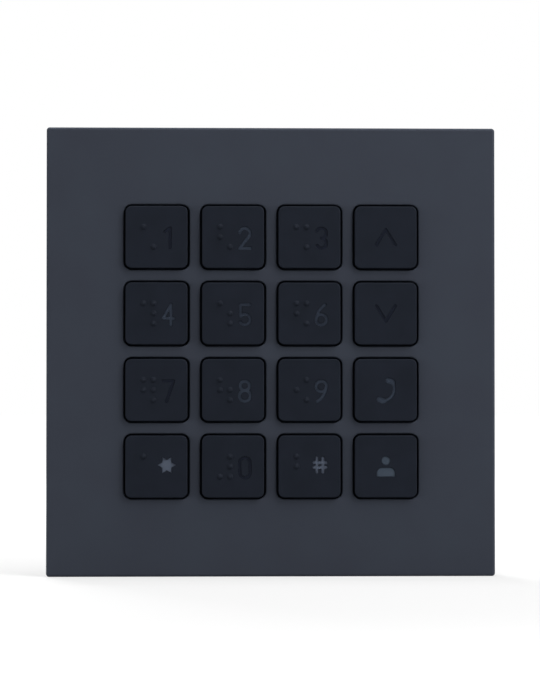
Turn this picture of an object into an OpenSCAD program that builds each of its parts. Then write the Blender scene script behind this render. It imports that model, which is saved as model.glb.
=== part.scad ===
// Flush keypad unit for a door-entry panel. A square face plate carries sixteen sprung keys with engraved
// legends and Braille dots. Behind it lie a rubber dome mat, a circuit board and a sealed rear housing
// with a wiring block. The rim of the plate lies on the mounting plane Y = 0, the face looks along -Y
// and +Z is up. Shapes are drawn lying down with the face upwards and then turned upright.

/* [Face plate] */
// Width and height of the square face plate
plate_w = 112; // [110:0.5:125]
// Depth of the plate from its face to the mounting plane
plate_d = 6; // [5.5:0.25:8]
// Thickness of the plate's front skin
skin_t = 2.5; // [2:0.1:3]
// Thickness of the rim around the plate's back
rim_t = 2.5; // [2.2:0.1:3.2]
// Radius of the plate's four corners, seen from the front
plate_r = 0.8; // [0.7:0.1:2]
// Rounding of the plate's front edge
plate_edge = 0.55; // [0.2:0.05:0.65]
// Radius of the corners inside the rim
rim_r = 1; // [0.5:0.1:2]

/* [Keys] */
// Distance between the middles of neighbouring keys
key_pitch = 19.05; // [18.5:0.05:19.6]
// Width and height of a key's cap
key_w = 15.4; // [14.6:0.1:15.8]
// Gap around a cap in its opening
key_gap = 0.5; // [0.3:0.05:0.8]
// Corner radius of a cap
key_r = 1.5; // [1:0.1:2.5]
// Rounding of a cap's front edge
key_edge = 0.4; // [0.2:0.05:0.6]
// Height of a cap above the plate's face
key_proud = 1.2; // [0.4:0.1:1.6]
// Distance that a key travels when it is pressed
key_travel = 1.2; // [0.6:0.1:1.6]
// Thickness of a cap's face
key_face_t = 1.6; // [1.2:0.1:2]
// Thickness of a cap's side walls
key_wall_t = 1.2; // [0.8:0.1:1.5]
// Reach of the retaining flange past the cap
flange_reach = 1.1; // [0.9:0.05:1.4]
// Thickness of the retaining flange
flange_t = 1.2; // [0.8:0.1:1.4]
// Clearance between the flange and the plate's skin at rest
flange_clear = 0.3; // [0.2:0.05:0.5]
// Diameter of the stem that presses the dome
stem_d = 4; // [3:0.1:5]

/* [Legends] */
// Height of a digit
digit_h = 5.8; // [5:0.1:6.4]
// Width of a digit
digit_w = 3.4; // [2.8:0.1:3.8]
// Width of the cutter that draws the strokes
stroke_w = 0.8; // [0.5:0.05:0.9]
// Distance from a key's middle to the right, to a digit's middle
digit_x = 2.95; // [2.6:0.05:3.4]
// Distance from a key's middle down to a digit's middle
digit_drop = 0.3; // [0:0.05:0.6]
// Distance across the points of the star
star_d = 4.8; // [4:0.1:5.2]
// Width of the hash sign
hash_w = 3.8; // [3.2:0.1:4.4]
// Height of the hash sign
hash_h = 4.4; // [3.6:0.1:5]
// Distance from a key's middle to the right, to the star and the hash sign
sign_x = 2.6; // [2.4:0.05:3]
// Distance from a key's middle up to the star and the hash sign
sign_rise = 0.4; // [0:0.05:0.6]
// Width of an arrow
arrow_w = 5.5; // [4.5:0.1:6.5]
// Height of an arrow
arrow_h = 4.6; // [3.5:0.1:5.5]
// Radius of the bend in the handset's grip
grip_r = 3.1; // [2.6:0.1:3.6]
// Distance that sets the handset to the right, so that it looks centred
grip_shift = 0.5; // [0:0.05:1]
// Tilt of the handset, in degrees
handset_tilt = 20; // [0:1:40]
// Width of the handset's ear pieces
ear_w = 1.5; // [1.1:0.1:1.8]
// Diameter of the person's head
head_d = 2.2; // [1.8:0.1:2.6]
// Width of the person's shoulders
bust_w = 4.6; // [4:0.1:5.4]
// Height of the person's shoulders
bust_h = 2.3; // [1.8:0.1:2.6]
// Gap between the person's head and shoulders
neck_gap = 0.6; // [0.4:0.1:1]
// Depth of the engraving in a cap's face
engrave_d = 0.5; // [0.35:0.05:0.8]
// Thickness of the translucent filling on the engraving's floor
fill_t = 0.25; // [0.1:0.05:0.3]
// Gap between the filling's edge and the engraving's wall
fill_gap = 0.05; // [0.02:0.01:0.1]

/* [Braille] */
// Distance between neighbouring dots of a cell
dot_pitch = 2.5; // [2.3:0.05:2.6]
// Diameter of a dot at its foot
dot_d = 1.4; // [1.2:0.05:1.6]
// Height of a dot
dot_h = 0.45; // [0.3:0.05:0.6]
// Distance from a key's middle to the left, to its cell's middle
cell_x = 2; // [1.8:0.05:2.4]

/* [Key mat] */
// Thickness of the mat's sheet
mat_t = 1.4; // [1:0.1:1.8]
// Reach of the sheet past the outer keys' flanges
mat_margin = 0.2; // [0:0.05:0.5]
// Corner radius of the sheet
mat_r = 2; // [1:0.25:4]
// Clearance between a pressed key's flange and the sheet
mat_clear = 1.2; // [0.8:0.1:1.5]
// Diameter of a dome at its foot
dome_d = 11; // [10:0.1:11.6]
// Diameter of a dome's flat crown
crown_d = 5.6; // [5.2:0.1:6.2]
// Height of a dome above the sheet
dome_h = 2.2; // [1.8:0.1:2.6]
// Thickness of a dome's wall
dome_t = 0.7; // [0.5:0.05:0.9]
// Diameter of the core that meets the contact pads
core_d = 4; // [3:0.1:4.2]
// Diameter of the pins behind the plate that hold the sheet down
pin_d = 2.4; // [1.8:0.1:2.6]

/* [Circuit board] */
// Thickness of the board
board_t = 1.6; // [1:0.1:2]
// Width of the board's edge outside the screws' middles
board_edge = 2.7; // [2.4:0.1:3.6]
// Diameter of the plate's bosses for the board's screws
board_boss_d = 5; // [4.4:0.1:5.6]
// Clearance between those bosses and the mat
boss_clear = 0.3; // [0.2:0.05:0.6]
// Distance of the board's screws above and below the middle
board_screw_rise = 19; // [14:0.5:26]
// Diameter of a board screw's shank
board_screw_d = 2.2; // [2:0.1:2.6]
// Length of a board screw inside its boss
board_screw_grip = 4; // [3:0.1:4.4]
// Clearance around a screw in the hole that it passes through
hole_clear = 0.35; // [0.2:0.05:0.5]
// Clearance around a screw in its threaded hole
thread_fit = 0.05; // [0.02:0.01:0.08]
// Distance across a pair of contact pads
pad_d = 4.4; // [3.8:0.1:5]
// Gap between the two pads of a pair
pad_gap = 0.5; // [0.3:0.05:0.8]
// Thickness of the contact pads
pad_t = 0.1; // [0.05:0.01:0.2]
// Distance of each lamp from its key's middle, to the left and up
led_offset = 5.6; // [5.4:0.05:5.9]
// Length of a lamp
led_l = 1.6; // [1.2:0.1:1.8]
// Width of a lamp
led_w = 0.8; // [0.6:0.1:1]
// Height of a lamp
led_h = 0.6; // [0.4:0.05:0.8]
// Clearance around a lamp in its pocket in the mat
led_clear = 0.3; // [0.2:0.05:0.4]
// Width of the square controller's body
chip_w = 10; // [7:0.5:14]
// Length of the bus driver's body
driver_l = 5; // [4.9:0.1:8]
// Width of the bus driver's body
driver_w = 4; // [3.5:0.1:6]
// Height of both chips' bodies
chip_h = 1.5; // [1:0.1:2]
// Diameter of the supply capacitor's can
can_d = 6.3; // [5:0.1:8]
// Height of the supply capacitor
can_h = 5.8; // [4.5:0.1:7.5]

/* [Rear housing] */
// Distance from the mounting plane to the housing's back
housing_d = 15; // [14.5:0.5:20]
// Thickness of the housing's walls
housing_t = 2; // [1.6:0.1:2.5]
// Clearance between the board's edge and the housing's walls
housing_clear = 1.4; // [0.8:0.1:1.8]
// Radius of the housing's corners, seen from behind
housing_r = 3; // [2.6:0.1:5]
// Rounding of the housing's back edge
housing_edge = 1; // [0.4:0.1:1.4]
// Reach of the housing's front flange past its walls
lip_reach = 1.5; // [1:0.1:2]
// Thickness of the housing's front flange
lip_t = 1.5; // [1:0.1:2]
// Thickness of the gasket between the housing and the plate
gasket_t = 1; // [0.6:0.1:1.5]
// Distance of the gasket's edges from the flange's edges
gasket_margin = 0.5; // [0.3:0.05:0.8]
// Diameter of the housing's screw columns
column_d = 7.4; // [7:0.1:8]
// Diameter of the plate's bosses for the housing's screws
column_boss_d = 6.5; // [6:0.1:7]
// Clearance around the columns in the board's corners
notch_clear = 0.5; // [0.3:0.05:1]
// Diameter of a housing screw's shank
housing_screw_d = 2.6; // [2.2:0.1:3]
// Length of a housing screw inside its boss
housing_screw_grip = 5; // [4:0.1:5.5]
// Depth of the recess for a housing screw's head
head_recess = 2.2; // [2.1:0.1:3]

/* [Wiring block] */
// Number of poles
poles = 6; // [2:1:8]
// Distance between the middles of neighbouring poles
pole_pitch = 5.08; // [5:0.01:5.2]
// Thickness of the block's end walls beyond the poles
block_end_t = 0.5; // [0.3:0.1:1]
// Height of the block's body, from its wire side to its top
block_rise = 8; // [7.5:0.1:9]
// Depth of the block from the board to its screw side
block_depth = 10.4; // [10:0.1:11]
// Distance of the block's wire side from the board's lower edge
block_inset = 1; // [0:0.1:3]
// Width of a square wire port
port_w = 3.6; // [3.2:0.1:3.8]
// Distance from the board to the middle of the ports
port_drop = 3.8; // [3.4:0.1:4.2]
// Depth of a wire port
port_l = 6.5; // [6:0.1:7]
// Distance of the screws from the block's wire side
screw_inset = 3.8; // [3.5:0.1:4]
// Diameter of a screw well
well_d = 4.2; // [3.6:0.1:4.4]
// Distance of a screw's head below the block's screw side
head_sink = 0.8; // [0.4:0.1:1.2]
// Height of a terminal screw's head
terminal_head_h = 2; // [1.5:0.1:2.2]
// Diameter of a terminal screw's shank
terminal_screw_d = 2.2; // [1.8:0.1:2.2]
// Length of a wire clamp
clamp_l = 4.5; // [4:0.1:5]
// Thickness of a wire clamp's metal
clamp_t = 0.5; // [0.4:0.05:0.6]
// Clearance around the clamps and the screw heads in the block
block_clear = 0.15; // [0.1:0.05:0.25]
// Clearance around the block in the housing's windows
window_clear = 0.5; // [0.3:0.1:1]

/* [Fixings] */
// Distance of each threaded insert from the plate's two nearest sides
insert_inset = 5; // [4.7:0.1:5.2]
// Outer diameter of an insert
insert_d = 4.2; // [3.8:0.1:4.4]
// Length of an insert
insert_l = 3.5; // [3:0.1:4]
// Bore of an insert
insert_bore = 2.5; // [2.2:0.1:2.8]
// Diameter of the bosses around the inserts
insert_boss_d = 7; // [6.4:0.1:7.2]
// Width of the groove for the rim's seal
groove_w = 1.2; // [0.8:0.1:1.4]
// Depth of that groove
groove_d = 0.8; // [0.5:0.05:1.2]
// Clearance between a pressed-in piece and its seat
seat_fit = 0.05; // [0.02:0.01:0.1]

/* [Hidden] */
$fn = 48;
// Overrun of a cut past the face that it opens
cut = 1;
// Depth to which a boss, stem or dot is sunk into what carries it
root = 0.4;
// Width of a stroke's round end as a share of the stroke's width
end_ease = 0.98;

// Keys by rows from the top left
KEYS = [
    "1", "2", "3", "up",
    "4", "5", "6", "down",
    "7", "8", "9", "call",
    "star", "0", "hash", "person"
];
columns = 4;
last_key = len(KEYS) - 1;
// Raised dots of each key's cell, numbered down the left column and then down the right
CELLS = [
    [1, 6], [1, 2, 6], [1, 4, 6], [],
    [1, 4, 5, 6], [1, 5, 6], [1, 2, 4, 6], [],
    [1, 2, 4, 5, 6], [1, 2, 5, 6], [2, 4, 6], [],
    [1], [3, 4, 5, 6], [1, 2], []
];

// Heights above the mounting plane, with the face upwards
z_skin = plate_d - skin_t;
z_cap = plate_d + key_proud;
z_hollow = z_cap - key_face_t;
z_flange = z_skin - flange_clear - flange_t;
z_mat = z_flange - key_travel - mat_clear;
z_crown = z_mat + dome_h;
z_board = z_mat - mat_t;
z_core = z_board + key_travel;
z_back_of_board = z_board - board_t;
z_block = z_back_of_board - block_depth;
z_port = z_back_of_board - port_drop;
z_lip = z_skin - gasket_t;
z_back = -housing_d;
z_floor = z_back + housing_t;
z_head = z_back + head_recess;

// Widths seen from the front
opening_w = key_w + 2 * key_gap;
opening_r = key_r + key_gap;
flange_w = key_w + 2 * flange_reach;
flange_r = key_r + flange_reach;
mat_w = (columns - 1) * key_pitch + flange_w + 2 * mat_margin;
board_screw_x = mat_w / 2 + boss_clear + board_boss_d / 2;
board_w = 2 * (board_screw_x + board_edge);
housing_in_w = board_w + 2 * housing_clear;
housing_w = housing_in_w + 2 * housing_t;
lip_w = housing_w + 2 * lip_reach;
lip_r = housing_r + lip_reach;
column_at = housing_in_w / 2 - column_d / 2 + root;
notch_w = board_w / 2 - column_at + column_d / 2 + notch_clear;
rim_in_w = plate_w - 2 * rim_t;
insert_at = plate_w / 2 - insert_inset;
groove_mid_w = plate_w - rim_t;
block_w = poles * pole_pitch + 2 * block_end_t;
block_low = block_inset - board_w / 2;

// Screw heads, sized from the shanks that carry them
board_head_d = 2 * board_screw_d;
board_head_h = 0.75 * board_screw_d;
housing_head_d = 2.1 * housing_screw_d;
housing_head_h = 0.75 * housing_screw_d;
recess_d = housing_head_d + 2 * hole_clear;

// Chip leads
lead_w = 0.35;
lead_l = 1;
lead_t = 0.2;
chip_lead_pitch = 0.8;
driver_lead_pitch = 1.27;
chip_stand = 0.1;
// Places on the back of the board, from its middle
chip_place = [-12, 9];
driver_place = [15, -16];
can_place = [16, 10];
can_base_h = 1;
can_base_margin = 0.3;

// Middle of key number i
function key_at(i) =
    key_pitch * [i % columns - (columns - 1) / 2, (columns - 1) / 2 - floor(i / columns)];

// Turns what is drawn with the face upwards so that the face looks along -Y
module upright() {
    rotate([90, 0, 0]) children();
}

module at_keys() {
    for (i = [0 : last_key]) translate(key_at(i)) children();
}

module at_corners(x, y) {
    for (sx = [-1, 1], sy = [-1, 1]) translate([sx * x, sy * y]) children();
}

module at_poles() {
    for (p = [0 : poles - 1])
        translate([(p - (poles - 1) / 2) * pole_pitch, block_low]) children();
}

// Quarter of a disc, in the corner between the +X and +Y axes
module quarter(r) {
    intersection() {
        circle(r);
        square(2 * r);
    }
}

// Square with round corners
module round_square(w, r) {
    side = w - 2 * r;
    square([w, side], center = true);
    square([side, w], center = true);
    for (turn = [0 : 90 : 270]) rotate(turn) translate([side / 2, side / 2]) quarter(r);
}

// Square frame between two square outlines with round corners
module round_frame(outer_w, outer_r, inner_w, inner_r) {
    difference() {
        round_square(outer_w, outer_r);
        round_square(inner_w, inner_r);
    }
}

// Section through the edge of a slab: r wide and t high, with its upper outer corner rounded by e
module edge_section(r, t, e) {
    square([r, t - e]);
    square([r - e, t]);
    translate([r - e, t - e]) quarter(e);
}

// Square slab with corners of radius r and an upper edge rounded by e
module slab(w, t, r, e) {
    side = w - 2 * r;
    translate([-side / 2, -side / 2]) cube([side, side, t]);
    for (turn = [0 : 90 : 270]) rotate(turn) translate([side / 2, side / 2]) {
        rotate_extrude(angle = 90) edge_section(r, t, e);
        rotate([90, 0, 0]) linear_extrude(side) edge_section(r, t, e);
    }
}

// Round end of a stroke, a hair narrower than the stroke itself so that their outlines cross
module round_end(p, w) {
    translate(p) circle(d = end_ease * w);
}

// Straight strokes of a round cutter from each point to the next
module path(points, w) {
    for (p = points) round_end(p, w);
    for (k = [1 : len(points) - 1]) {
        run = points[k] - points[k - 1];
        translate(points[k - 1]) rotate(atan2(run.y, run.x)) translate([0, -w / 2]) square([norm(run), w]);
    }
}

// Stroke of a round cutter around the point c, from angle a0 on to a1. An end where another stroke
// goes on is left square.
module bend(c, r, a0, a1, w, round_from = true, round_to = true) {
    steps = ceil((a1 - a0) / 60);
    far = 2 * (r + w);
    angles = [for (k = [0 : steps]) a0 + (a1 - a0) * k / steps];
    translate(c) intersection() {
        ring(r, w);
        polygon(concat([[0, 0]], [for (a = angles) far * [cos(a), sin(a)]]));
    }
    if (round_from) round_end(c + r * [cos(a0), sin(a0)], w);
    if (round_to) round_end(c + r * [cos(a1), sin(a1)], w);
}

// Closed round stroke
module ring(r, w) {
    difference() {
        circle(r + w / 2);
        circle(r - w / 2);
    }
}

// Digits, drawn around their middle with strokes of width w
module digit(n, w) {
    x = (digit_w - stroke_w) / 2;
    y = (digit_h - stroke_w) / 2;
    bowl = [0, x - y];
    if (n == "0") {
        bend(-bowl, x, 0, 180, w, round_from = false, round_to = false);
        bend(bowl, x, 180, 360, w, round_from = false, round_to = false);
        for (side = [-x, x]) path([[side, bowl.y], [side, -bowl.y]], w);
    }
    if (n == "1") path([[x / 3, -y], [x / 3, y], [-2 / 3 * x, y - 0.7 * x]], w);
    if (n == "2") {
        bend(-bowl, x, -30, 170, w, round_from = false);
        path([-bowl + x * [cos(-30), sin(-30)], [-x, -y], [x, -y]], w);
    }
    if (n == "3") {
        bend([0, y / 2], y / 2, -90, 150, w, round_from = false);
        bend([0, -y / 2], y / 2, -150, 90, w);
    }
    if (n == "4") path([[x, -0.35 * y], [-x, -0.35 * y], [x / 2, y], [x / 2, -y]], w);
    if (n == "5") {
        turn = 145;
        shoulder = bowl + x * [cos(turn), sin(turn)];
        bend(bowl, x, -150, turn, w, round_to = false);
        path([shoulder, [shoulder.x, y], [0.9 * x, y]], w);
    }
    if (n == "6") bowl_and_tail(x, y, w);
    if (n == "7") path([[-x, y], [x, y], [-x / 3, -y]], w);
    if (n == "8") {
        upper_r = 0.46 * y;
        lower_r = y - upper_r;
        translate([0, y - upper_r]) ring(upper_r, w);
        translate([0, lower_r - y]) ring(lower_r, w);
    }
    if (n == "9") rotate(180) bowl_and_tail(x, y, w);
}

// The digit six: a round bowl with a tail that bends away from its left side up to the top. The tail
// starts a little inside the bowl's stroke, so that the two cross.
module bowl_and_tail(x, y, w) {
    lean = stroke_w / 5;
    reach = 1.6 * x;
    rise = 2 * y - x;
    sweep = 2 * atan2(reach, rise);
    tail_r = rise / sin(sweep);
    translate([0, x - y]) ring(x, w);
    bend([tail_r - x + lean, x - y], tail_r, 180 - sweep, 180, w, round_to = false);
}

// Six-pointed star of half the width star_d, drawn in by g
module star(g) {
    tip = star_d / 2 - 2 * g;
    pit = 0.55 * star_d / 2 - g;
    polygon([for (k = [0 : 11]) (k % 2 == 0 ? tip : pit) * [cos(30 * k), sin(30 * k)]]);
}

module hash_sign(w) {
    x = (hash_w - stroke_w) / 2;
    y = (hash_h - stroke_w) / 2;
    for (s = [-1, 1]) {
        path([[s * x / 2, -y], [s * x / 2, y]], w);
        path([[-x, s * y / 3], [x, s * y / 3]], w);
    }
}

// Arrow with its point upwards
module arrow(w) {
    x = (arrow_w - stroke_w) / 2;
    y = (arrow_h - stroke_w) / 2;
    path([[-x, -y], [0, y], [x, -y]], w);
}

// Telephone handset standing on end: a bent grip between two ear pieces
module handset(w, g) {
    middle = [grip_shift - grip_r / 2, 0];
    from = -62;
    to = 52;
    lower = middle + grip_r * [cos(from), sin(from)];
    upper = middle + grip_r * [cos(to), sin(to)];
    ear = [0.7 * ear_w, 0];
    bend(middle, grip_r, from, to, w, round_from = false, round_to = false);
    for (end = [lower, upper]) path([end - ear, end], ear_w - 2 * g);
}

// Head and shoulders of a person
module person(g) {
    shoulder_r = 0.6 * bust_h;
    tall = head_d + neck_gap + bust_h;
    translate([0, (tall - head_d) / 2]) circle(d = head_d - 2 * g);
    translate([0, -tall / 2]) for (side = [0, 1]) mirror([side, 0])
        translate([0, g]) edge_section(bust_w / 2 - g, bust_h - 2 * g, shoulder_r);
}

// Outline of the legend on key number i, drawn in by g
module legend_outline(i, g) {
    name = KEYS[i];
    w = stroke_w - 2 * g;
    if (name == "up") arrow(w);
    else if (name == "down") rotate(180) arrow(w);
    else if (name == "call") rotate(-handset_tilt) handset(w, g);
    else if (name == "person") person(g);
    else if (name == "star") translate([sign_x, sign_rise]) star(g);
    else if (name == "hash") translate([sign_x, sign_rise]) hash_sign(w);
    else translate([digit_x, -digit_drop]) digit(name, w);
}

// One raised dot: the cap of a ball that is dot_d wide at the key's face
module braille_dot() {
    ball_r = (dot_d * dot_d / 4 + dot_h * dot_h) / (2 * dot_h);
    rotate_extrude() intersection() {
        translate([0, dot_h - ball_r]) circle(ball_r);
        translate([0, -root]) square([dot_d, root + dot_h]);
    }
}

module braille_cell(i) {
    for (dot = CELLS[i]) {
        column = floor((dot - 1) / 3) - 0.5;
        row = 1 - (dot - 1) % 3;
        translate([column * dot_pitch - cell_x, row * dot_pitch]) braille_dot();
    }
}

// Post that stands behind the plate, from height z up into the skin
module post(d, z) {
    translate([0, 0, z]) cylinder(d = d, h = z_skin - z + root);
}

module hold_down_pins() {
    for (column = [1 : columns - 1], row = [1 : columns - 1])
        translate(key_pitch * [column - columns / 2, row - columns / 2]) post(pin_d, z_mat);
}

// Screw along +Z with its head below z = 0 and a six-sided socket in the head
module screw(shank_d, shank_l, head_d, head_h) {
    cylinder(d = shank_d, h = shank_l);
    difference() {
        translate([0, 0, -head_h]) cylinder(d = head_d, h = head_h);
        translate([0, 0, -head_h - cut]) cylinder(d = head_d / 2, h = cut + head_h / 2, $fn = 6);
    }
}

module front_plate() color("#3a3f48") upright() {
    difference() {
        union() {
            difference() {
                slab(plate_w, plate_d, plate_r, plate_edge);
                translate([0, 0, -cut]) linear_extrude(z_skin + cut) round_square(rim_in_w, rim_r);
            }
            at_corners(insert_at, insert_at) post(insert_boss_d, 0);
            at_corners(column_at, column_at) post(column_boss_d, z_back_of_board);
            at_corners(board_screw_x, board_screw_rise) post(board_boss_d, z_board);
            hold_down_pins();
        }
        at_keys() translate([0, 0, z_skin - cut])
            linear_extrude(skin_t + 2 * cut) round_square(opening_w, opening_r);
        translate([0, 0, -cut]) linear_extrude(groove_d + cut)
            round_frame(groove_mid_w + groove_w, plate_r, groove_mid_w - groove_w, rim_r);
        at_corners(insert_at, insert_at) translate([0, 0, -cut])
            cylinder(d = insert_d + 2 * seat_fit, h = cut + insert_l + root);
        at_corners(column_at, column_at) translate([0, 0, z_back_of_board - cut])
            cylinder(d = housing_screw_d + 2 * thread_fit, h = cut + housing_screw_grip + root);
        at_corners(board_screw_x, board_screw_rise) translate([0, 0, z_board - cut])
            cylinder(d = board_screw_d + 2 * thread_fit, h = cut + board_screw_grip + root);
    }
}

module key(i) color("#21242c") upright() translate(key_at(i)) {
    difference() {
        union() {
            translate([0, 0, z_flange]) linear_extrude(flange_t) round_square(flange_w, flange_r);
            translate([0, 0, z_flange]) slab(key_w, z_cap - z_flange, key_r, key_edge);
            translate([0, 0, z_cap]) braille_cell(i);
        }
        translate([0, 0, z_flange - cut]) linear_extrude(z_hollow - z_flange + cut)
            round_square(key_w - 2 * key_wall_t, key_r);
        translate([0, 0, z_cap - engrave_d]) linear_extrude(engrave_d + cut) legend_outline(i, 0);
    }
    translate([0, 0, z_crown]) cylinder(d = stem_d, h = z_hollow - z_crown + root);
}

module legend(i) color("#565c66") upright() translate(key_at(i))
    translate([0, 0, z_cap - engrave_d]) linear_extrude(fill_t) legend_outline(i, fill_gap);

module dome() {
    rotate_extrude() polygon([
        [0, z_board], [dome_d / 2, z_board], [dome_d / 2, z_mat], [crown_d / 2, z_crown], [0, z_crown]
    ]);
}

// Room inside a dome, around the core that hangs from its crown
module dome_room() {
    foot_r = dome_d / 2 - dome_t;
    z_roof = z_crown - dome_t;
    rotate_extrude() polygon([
        [0, z_board - cut], [foot_r, z_board - cut], [foot_r, z_mat], [crown_d / 2, z_roof],
        [core_d / 2, z_roof], [core_d / 2, z_core], [0, z_core]
    ]);
}

module key_mat() color("#2c2d30") upright() difference() {
    union() {
        translate([0, 0, z_board]) linear_extrude(mat_t) round_square(mat_w, mat_r);
        at_keys() dome();
    }
    at_keys() {
        dome_room();
        translate([-led_offset, led_offset, z_board - cut]) linear_extrude(mat_t + 2 * cut)
            square([led_l + 2 * led_clear, led_w + 2 * led_clear], center = true);
    }
}

module circuit_board() color("#1f5a38") upright() translate([0, 0, z_back_of_board])
    linear_extrude(board_t) difference() {
        square(board_w, center = true);
        at_corners(board_w / 2, board_w / 2) square(2 * notch_w, center = true);
        at_corners(board_screw_x, board_screw_rise) circle(d = board_screw_d + 2 * hole_clear);
    }

module contact_pads() color("gold") upright() at_keys() translate([0, 0, z_board])
    linear_extrude(pad_t) difference() {
        circle(d = pad_d);
        square([pad_gap, 2 * pad_d], center = true);
    }

module backlight_leds() color("#f2efe2") upright() at_keys()
    translate([-led_offset, led_offset, z_board]) linear_extrude(led_h)
        square([led_l, led_w], center = true);

// Row of leads along one side of a chip, reaching out along +X from x
module lead_row(x, span, pitch) {
    count = floor((span - lead_w) / pitch);
    for (k = [0 : count - 1])
        translate([x, (k - (count - 1) / 2) * pitch - lead_w / 2, -lead_t]) cube([lead_l, lead_w, lead_t]);
}

// Body of a chip below z = 0
module chip_body(l, w) {
    translate([-l / 2, -w / 2, -chip_h - chip_stand]) cube([l, w, chip_h]);
}

module controller_chip() color("#17181a") upright() translate([chip_place.x, chip_place.y, z_back_of_board]) {
    chip_body(chip_w, chip_w);
    for (turn = [0 : 90 : 270]) rotate(turn) lead_row(chip_w / 2, chip_w, chip_lead_pitch);
}

module bus_driver() color("#17181a") upright() translate([driver_place.x, driver_place.y, z_back_of_board]) {
    chip_body(driver_w, driver_l);
    for (turn = [0, 180]) rotate(turn) lead_row(driver_w / 2, driver_l, driver_lead_pitch);
}

module supply_capacitor() color("#b9bcc2") upright() translate([can_place.x, can_place.y, z_back_of_board])
    mirror([0, 0, 1]) {
        linear_extrude(can_base_h) square(can_d + 2 * can_base_margin, center = true);
        cylinder(d = can_d, h = can_h);
    }

module terminal_block() color("#2f7a4d") upright() difference() {
    translate([-block_w / 2, block_low, z_block]) cube([block_w, block_rise, block_depth]);
    at_poles() {
        translate([-port_w / 2, -cut, z_port - port_w / 2]) cube([port_w, port_l + cut, port_w]);
        translate([0, screw_inset, z_block - cut]) cylinder(d = well_d, h = z_port - port_w / 2 - z_block + cut);
    }
}

// Open box of sheet metal that the screw draws against the wire
module terminal_clamps() color("silver") upright() at_poles() translate([0, screw_inset, z_port]) {
    clamp_w = port_w - 2 * block_clear;
    wire_w = clamp_w - 2 * clamp_t;
    difference() {
        cube([clamp_w, clamp_l, clamp_w], center = true);
        cube([wire_w, clamp_l + 2 * cut, wire_w], center = true);
        translate([0, 0, -clamp_w]) cylinder(d = terminal_screw_d + 2 * thread_fit, h = clamp_w);
    }
}

module terminal_screws() color("silver") upright() at_poles() {
    head_d = well_d - 2 * block_clear;
    z_seat = z_block + head_sink + terminal_head_h;
    translate([0, screw_inset, z_seat]) difference() {
        union() {
            translate([0, 0, -terminal_head_h]) cylinder(d = head_d, h = terminal_head_h);
            cylinder(d = terminal_screw_d, h = z_port - z_seat);
        }
        translate([-head_d, -head_d / 10, -terminal_head_h - cut])
            cube([2 * head_d, head_d / 5, cut + terminal_head_h / 2]);
    }
}

module board_screws() color("silver") upright() at_corners(board_screw_x, board_screw_rise)
    translate([0, 0, z_back_of_board])
        screw(board_screw_d, board_t + board_screw_grip, board_head_d, board_head_h);

// Windows for the wiring block: one behind its screws and one below its wire ports
module wiring_windows() {
    window_w = block_w + 2 * window_clear;
    port_window_h = port_w + 2 * window_clear;
    translate([-window_w / 2, block_low - window_clear, z_back - cut])
        cube([window_w, block_rise + 2 * window_clear, housing_t + 2 * cut]);
    translate([-window_w / 2, -housing_w / 2 - cut, z_port - port_window_h / 2])
        cube([window_w, housing_t + 2 * cut, port_window_h]);
}

module rear_housing() color("#292b30") upright() difference() {
    union() {
        difference() {
            union() {
                translate([0, 0, z_lip]) mirror([0, 0, 1])
                    slab(housing_w, z_lip - z_back, housing_r, housing_edge);
                translate([0, 0, z_lip - lip_t]) linear_extrude(lip_t) round_square(lip_w, lip_r);
            }
            translate([0, 0, z_floor]) linear_extrude(z_lip - z_floor + cut)
                round_square(housing_in_w, housing_r - housing_t);
        }
        at_corners(column_at, column_at) translate([0, 0, z_floor - root])
            cylinder(d = column_d, h = z_back_of_board - z_floor + root);
    }
    at_corners(column_at, column_at) translate([0, 0, z_back - cut]) {
        cylinder(d = recess_d, h = head_recess + cut);
        cylinder(d = housing_screw_d + 2 * hole_clear, h = z_back_of_board - z_back + 2 * cut);
    }
    wiring_windows();
}

module housing_seal() color("#1b1c1e") upright() translate([0, 0, z_lip]) linear_extrude(gasket_t)
    round_frame(
        lip_w - 2 * gasket_margin, lip_r - gasket_margin,
        housing_in_w + 2 * gasket_margin, housing_r - housing_t + gasket_margin
    );

module housing_screws() color("silver") upright() at_corners(column_at, column_at)
    translate([0, 0, z_head])
        screw(housing_screw_d, z_back_of_board - z_head + housing_screw_grip, housing_head_d, housing_head_h);

module rim_seal() color("#1b1c1e") upright() linear_extrude(groove_d)
    round_frame(
        groove_mid_w + groove_w - 2 * seat_fit, plate_r - seat_fit,
        groove_mid_w - groove_w + 2 * seat_fit, rim_r + seat_fit
    );

module mounting_inserts() color("#c9a24b") upright() at_corners(insert_at, insert_at) difference() {
    cylinder(d = insert_d, h = insert_l);
    translate([0, 0, -cut]) cylinder(d = insert_bore, h = insert_l + 2 * cut);
}

front_plate();
for (i = [0 : last_key]) {
    key(i);
    legend(i);
}
key_mat();
circuit_board();
contact_pads();
backlight_leds();
controller_chip();
bus_driver();
supply_capacitor();
terminal_block();
terminal_clamps();
terminal_screws();
board_screws();
rear_housing();
housing_seal();
housing_screws();
rim_seal();
mounting_inserts();
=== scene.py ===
"""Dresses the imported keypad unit: face plate, keys, dome mat, rear housing, wiring block and fixings.

Lengths are in metres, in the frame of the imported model: X to the right, Y into the panel and Z up.
"""

from __future__ import annotations

import logging
import math
from dataclasses import dataclass, field
from enum import Enum
from typing import Iterable, Optional, Sequence, Union

import bmesh
import bpy
from bmesh.types import BMEdge, BMFace, BMVert
from mathutils import Matrix, Vector

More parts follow.
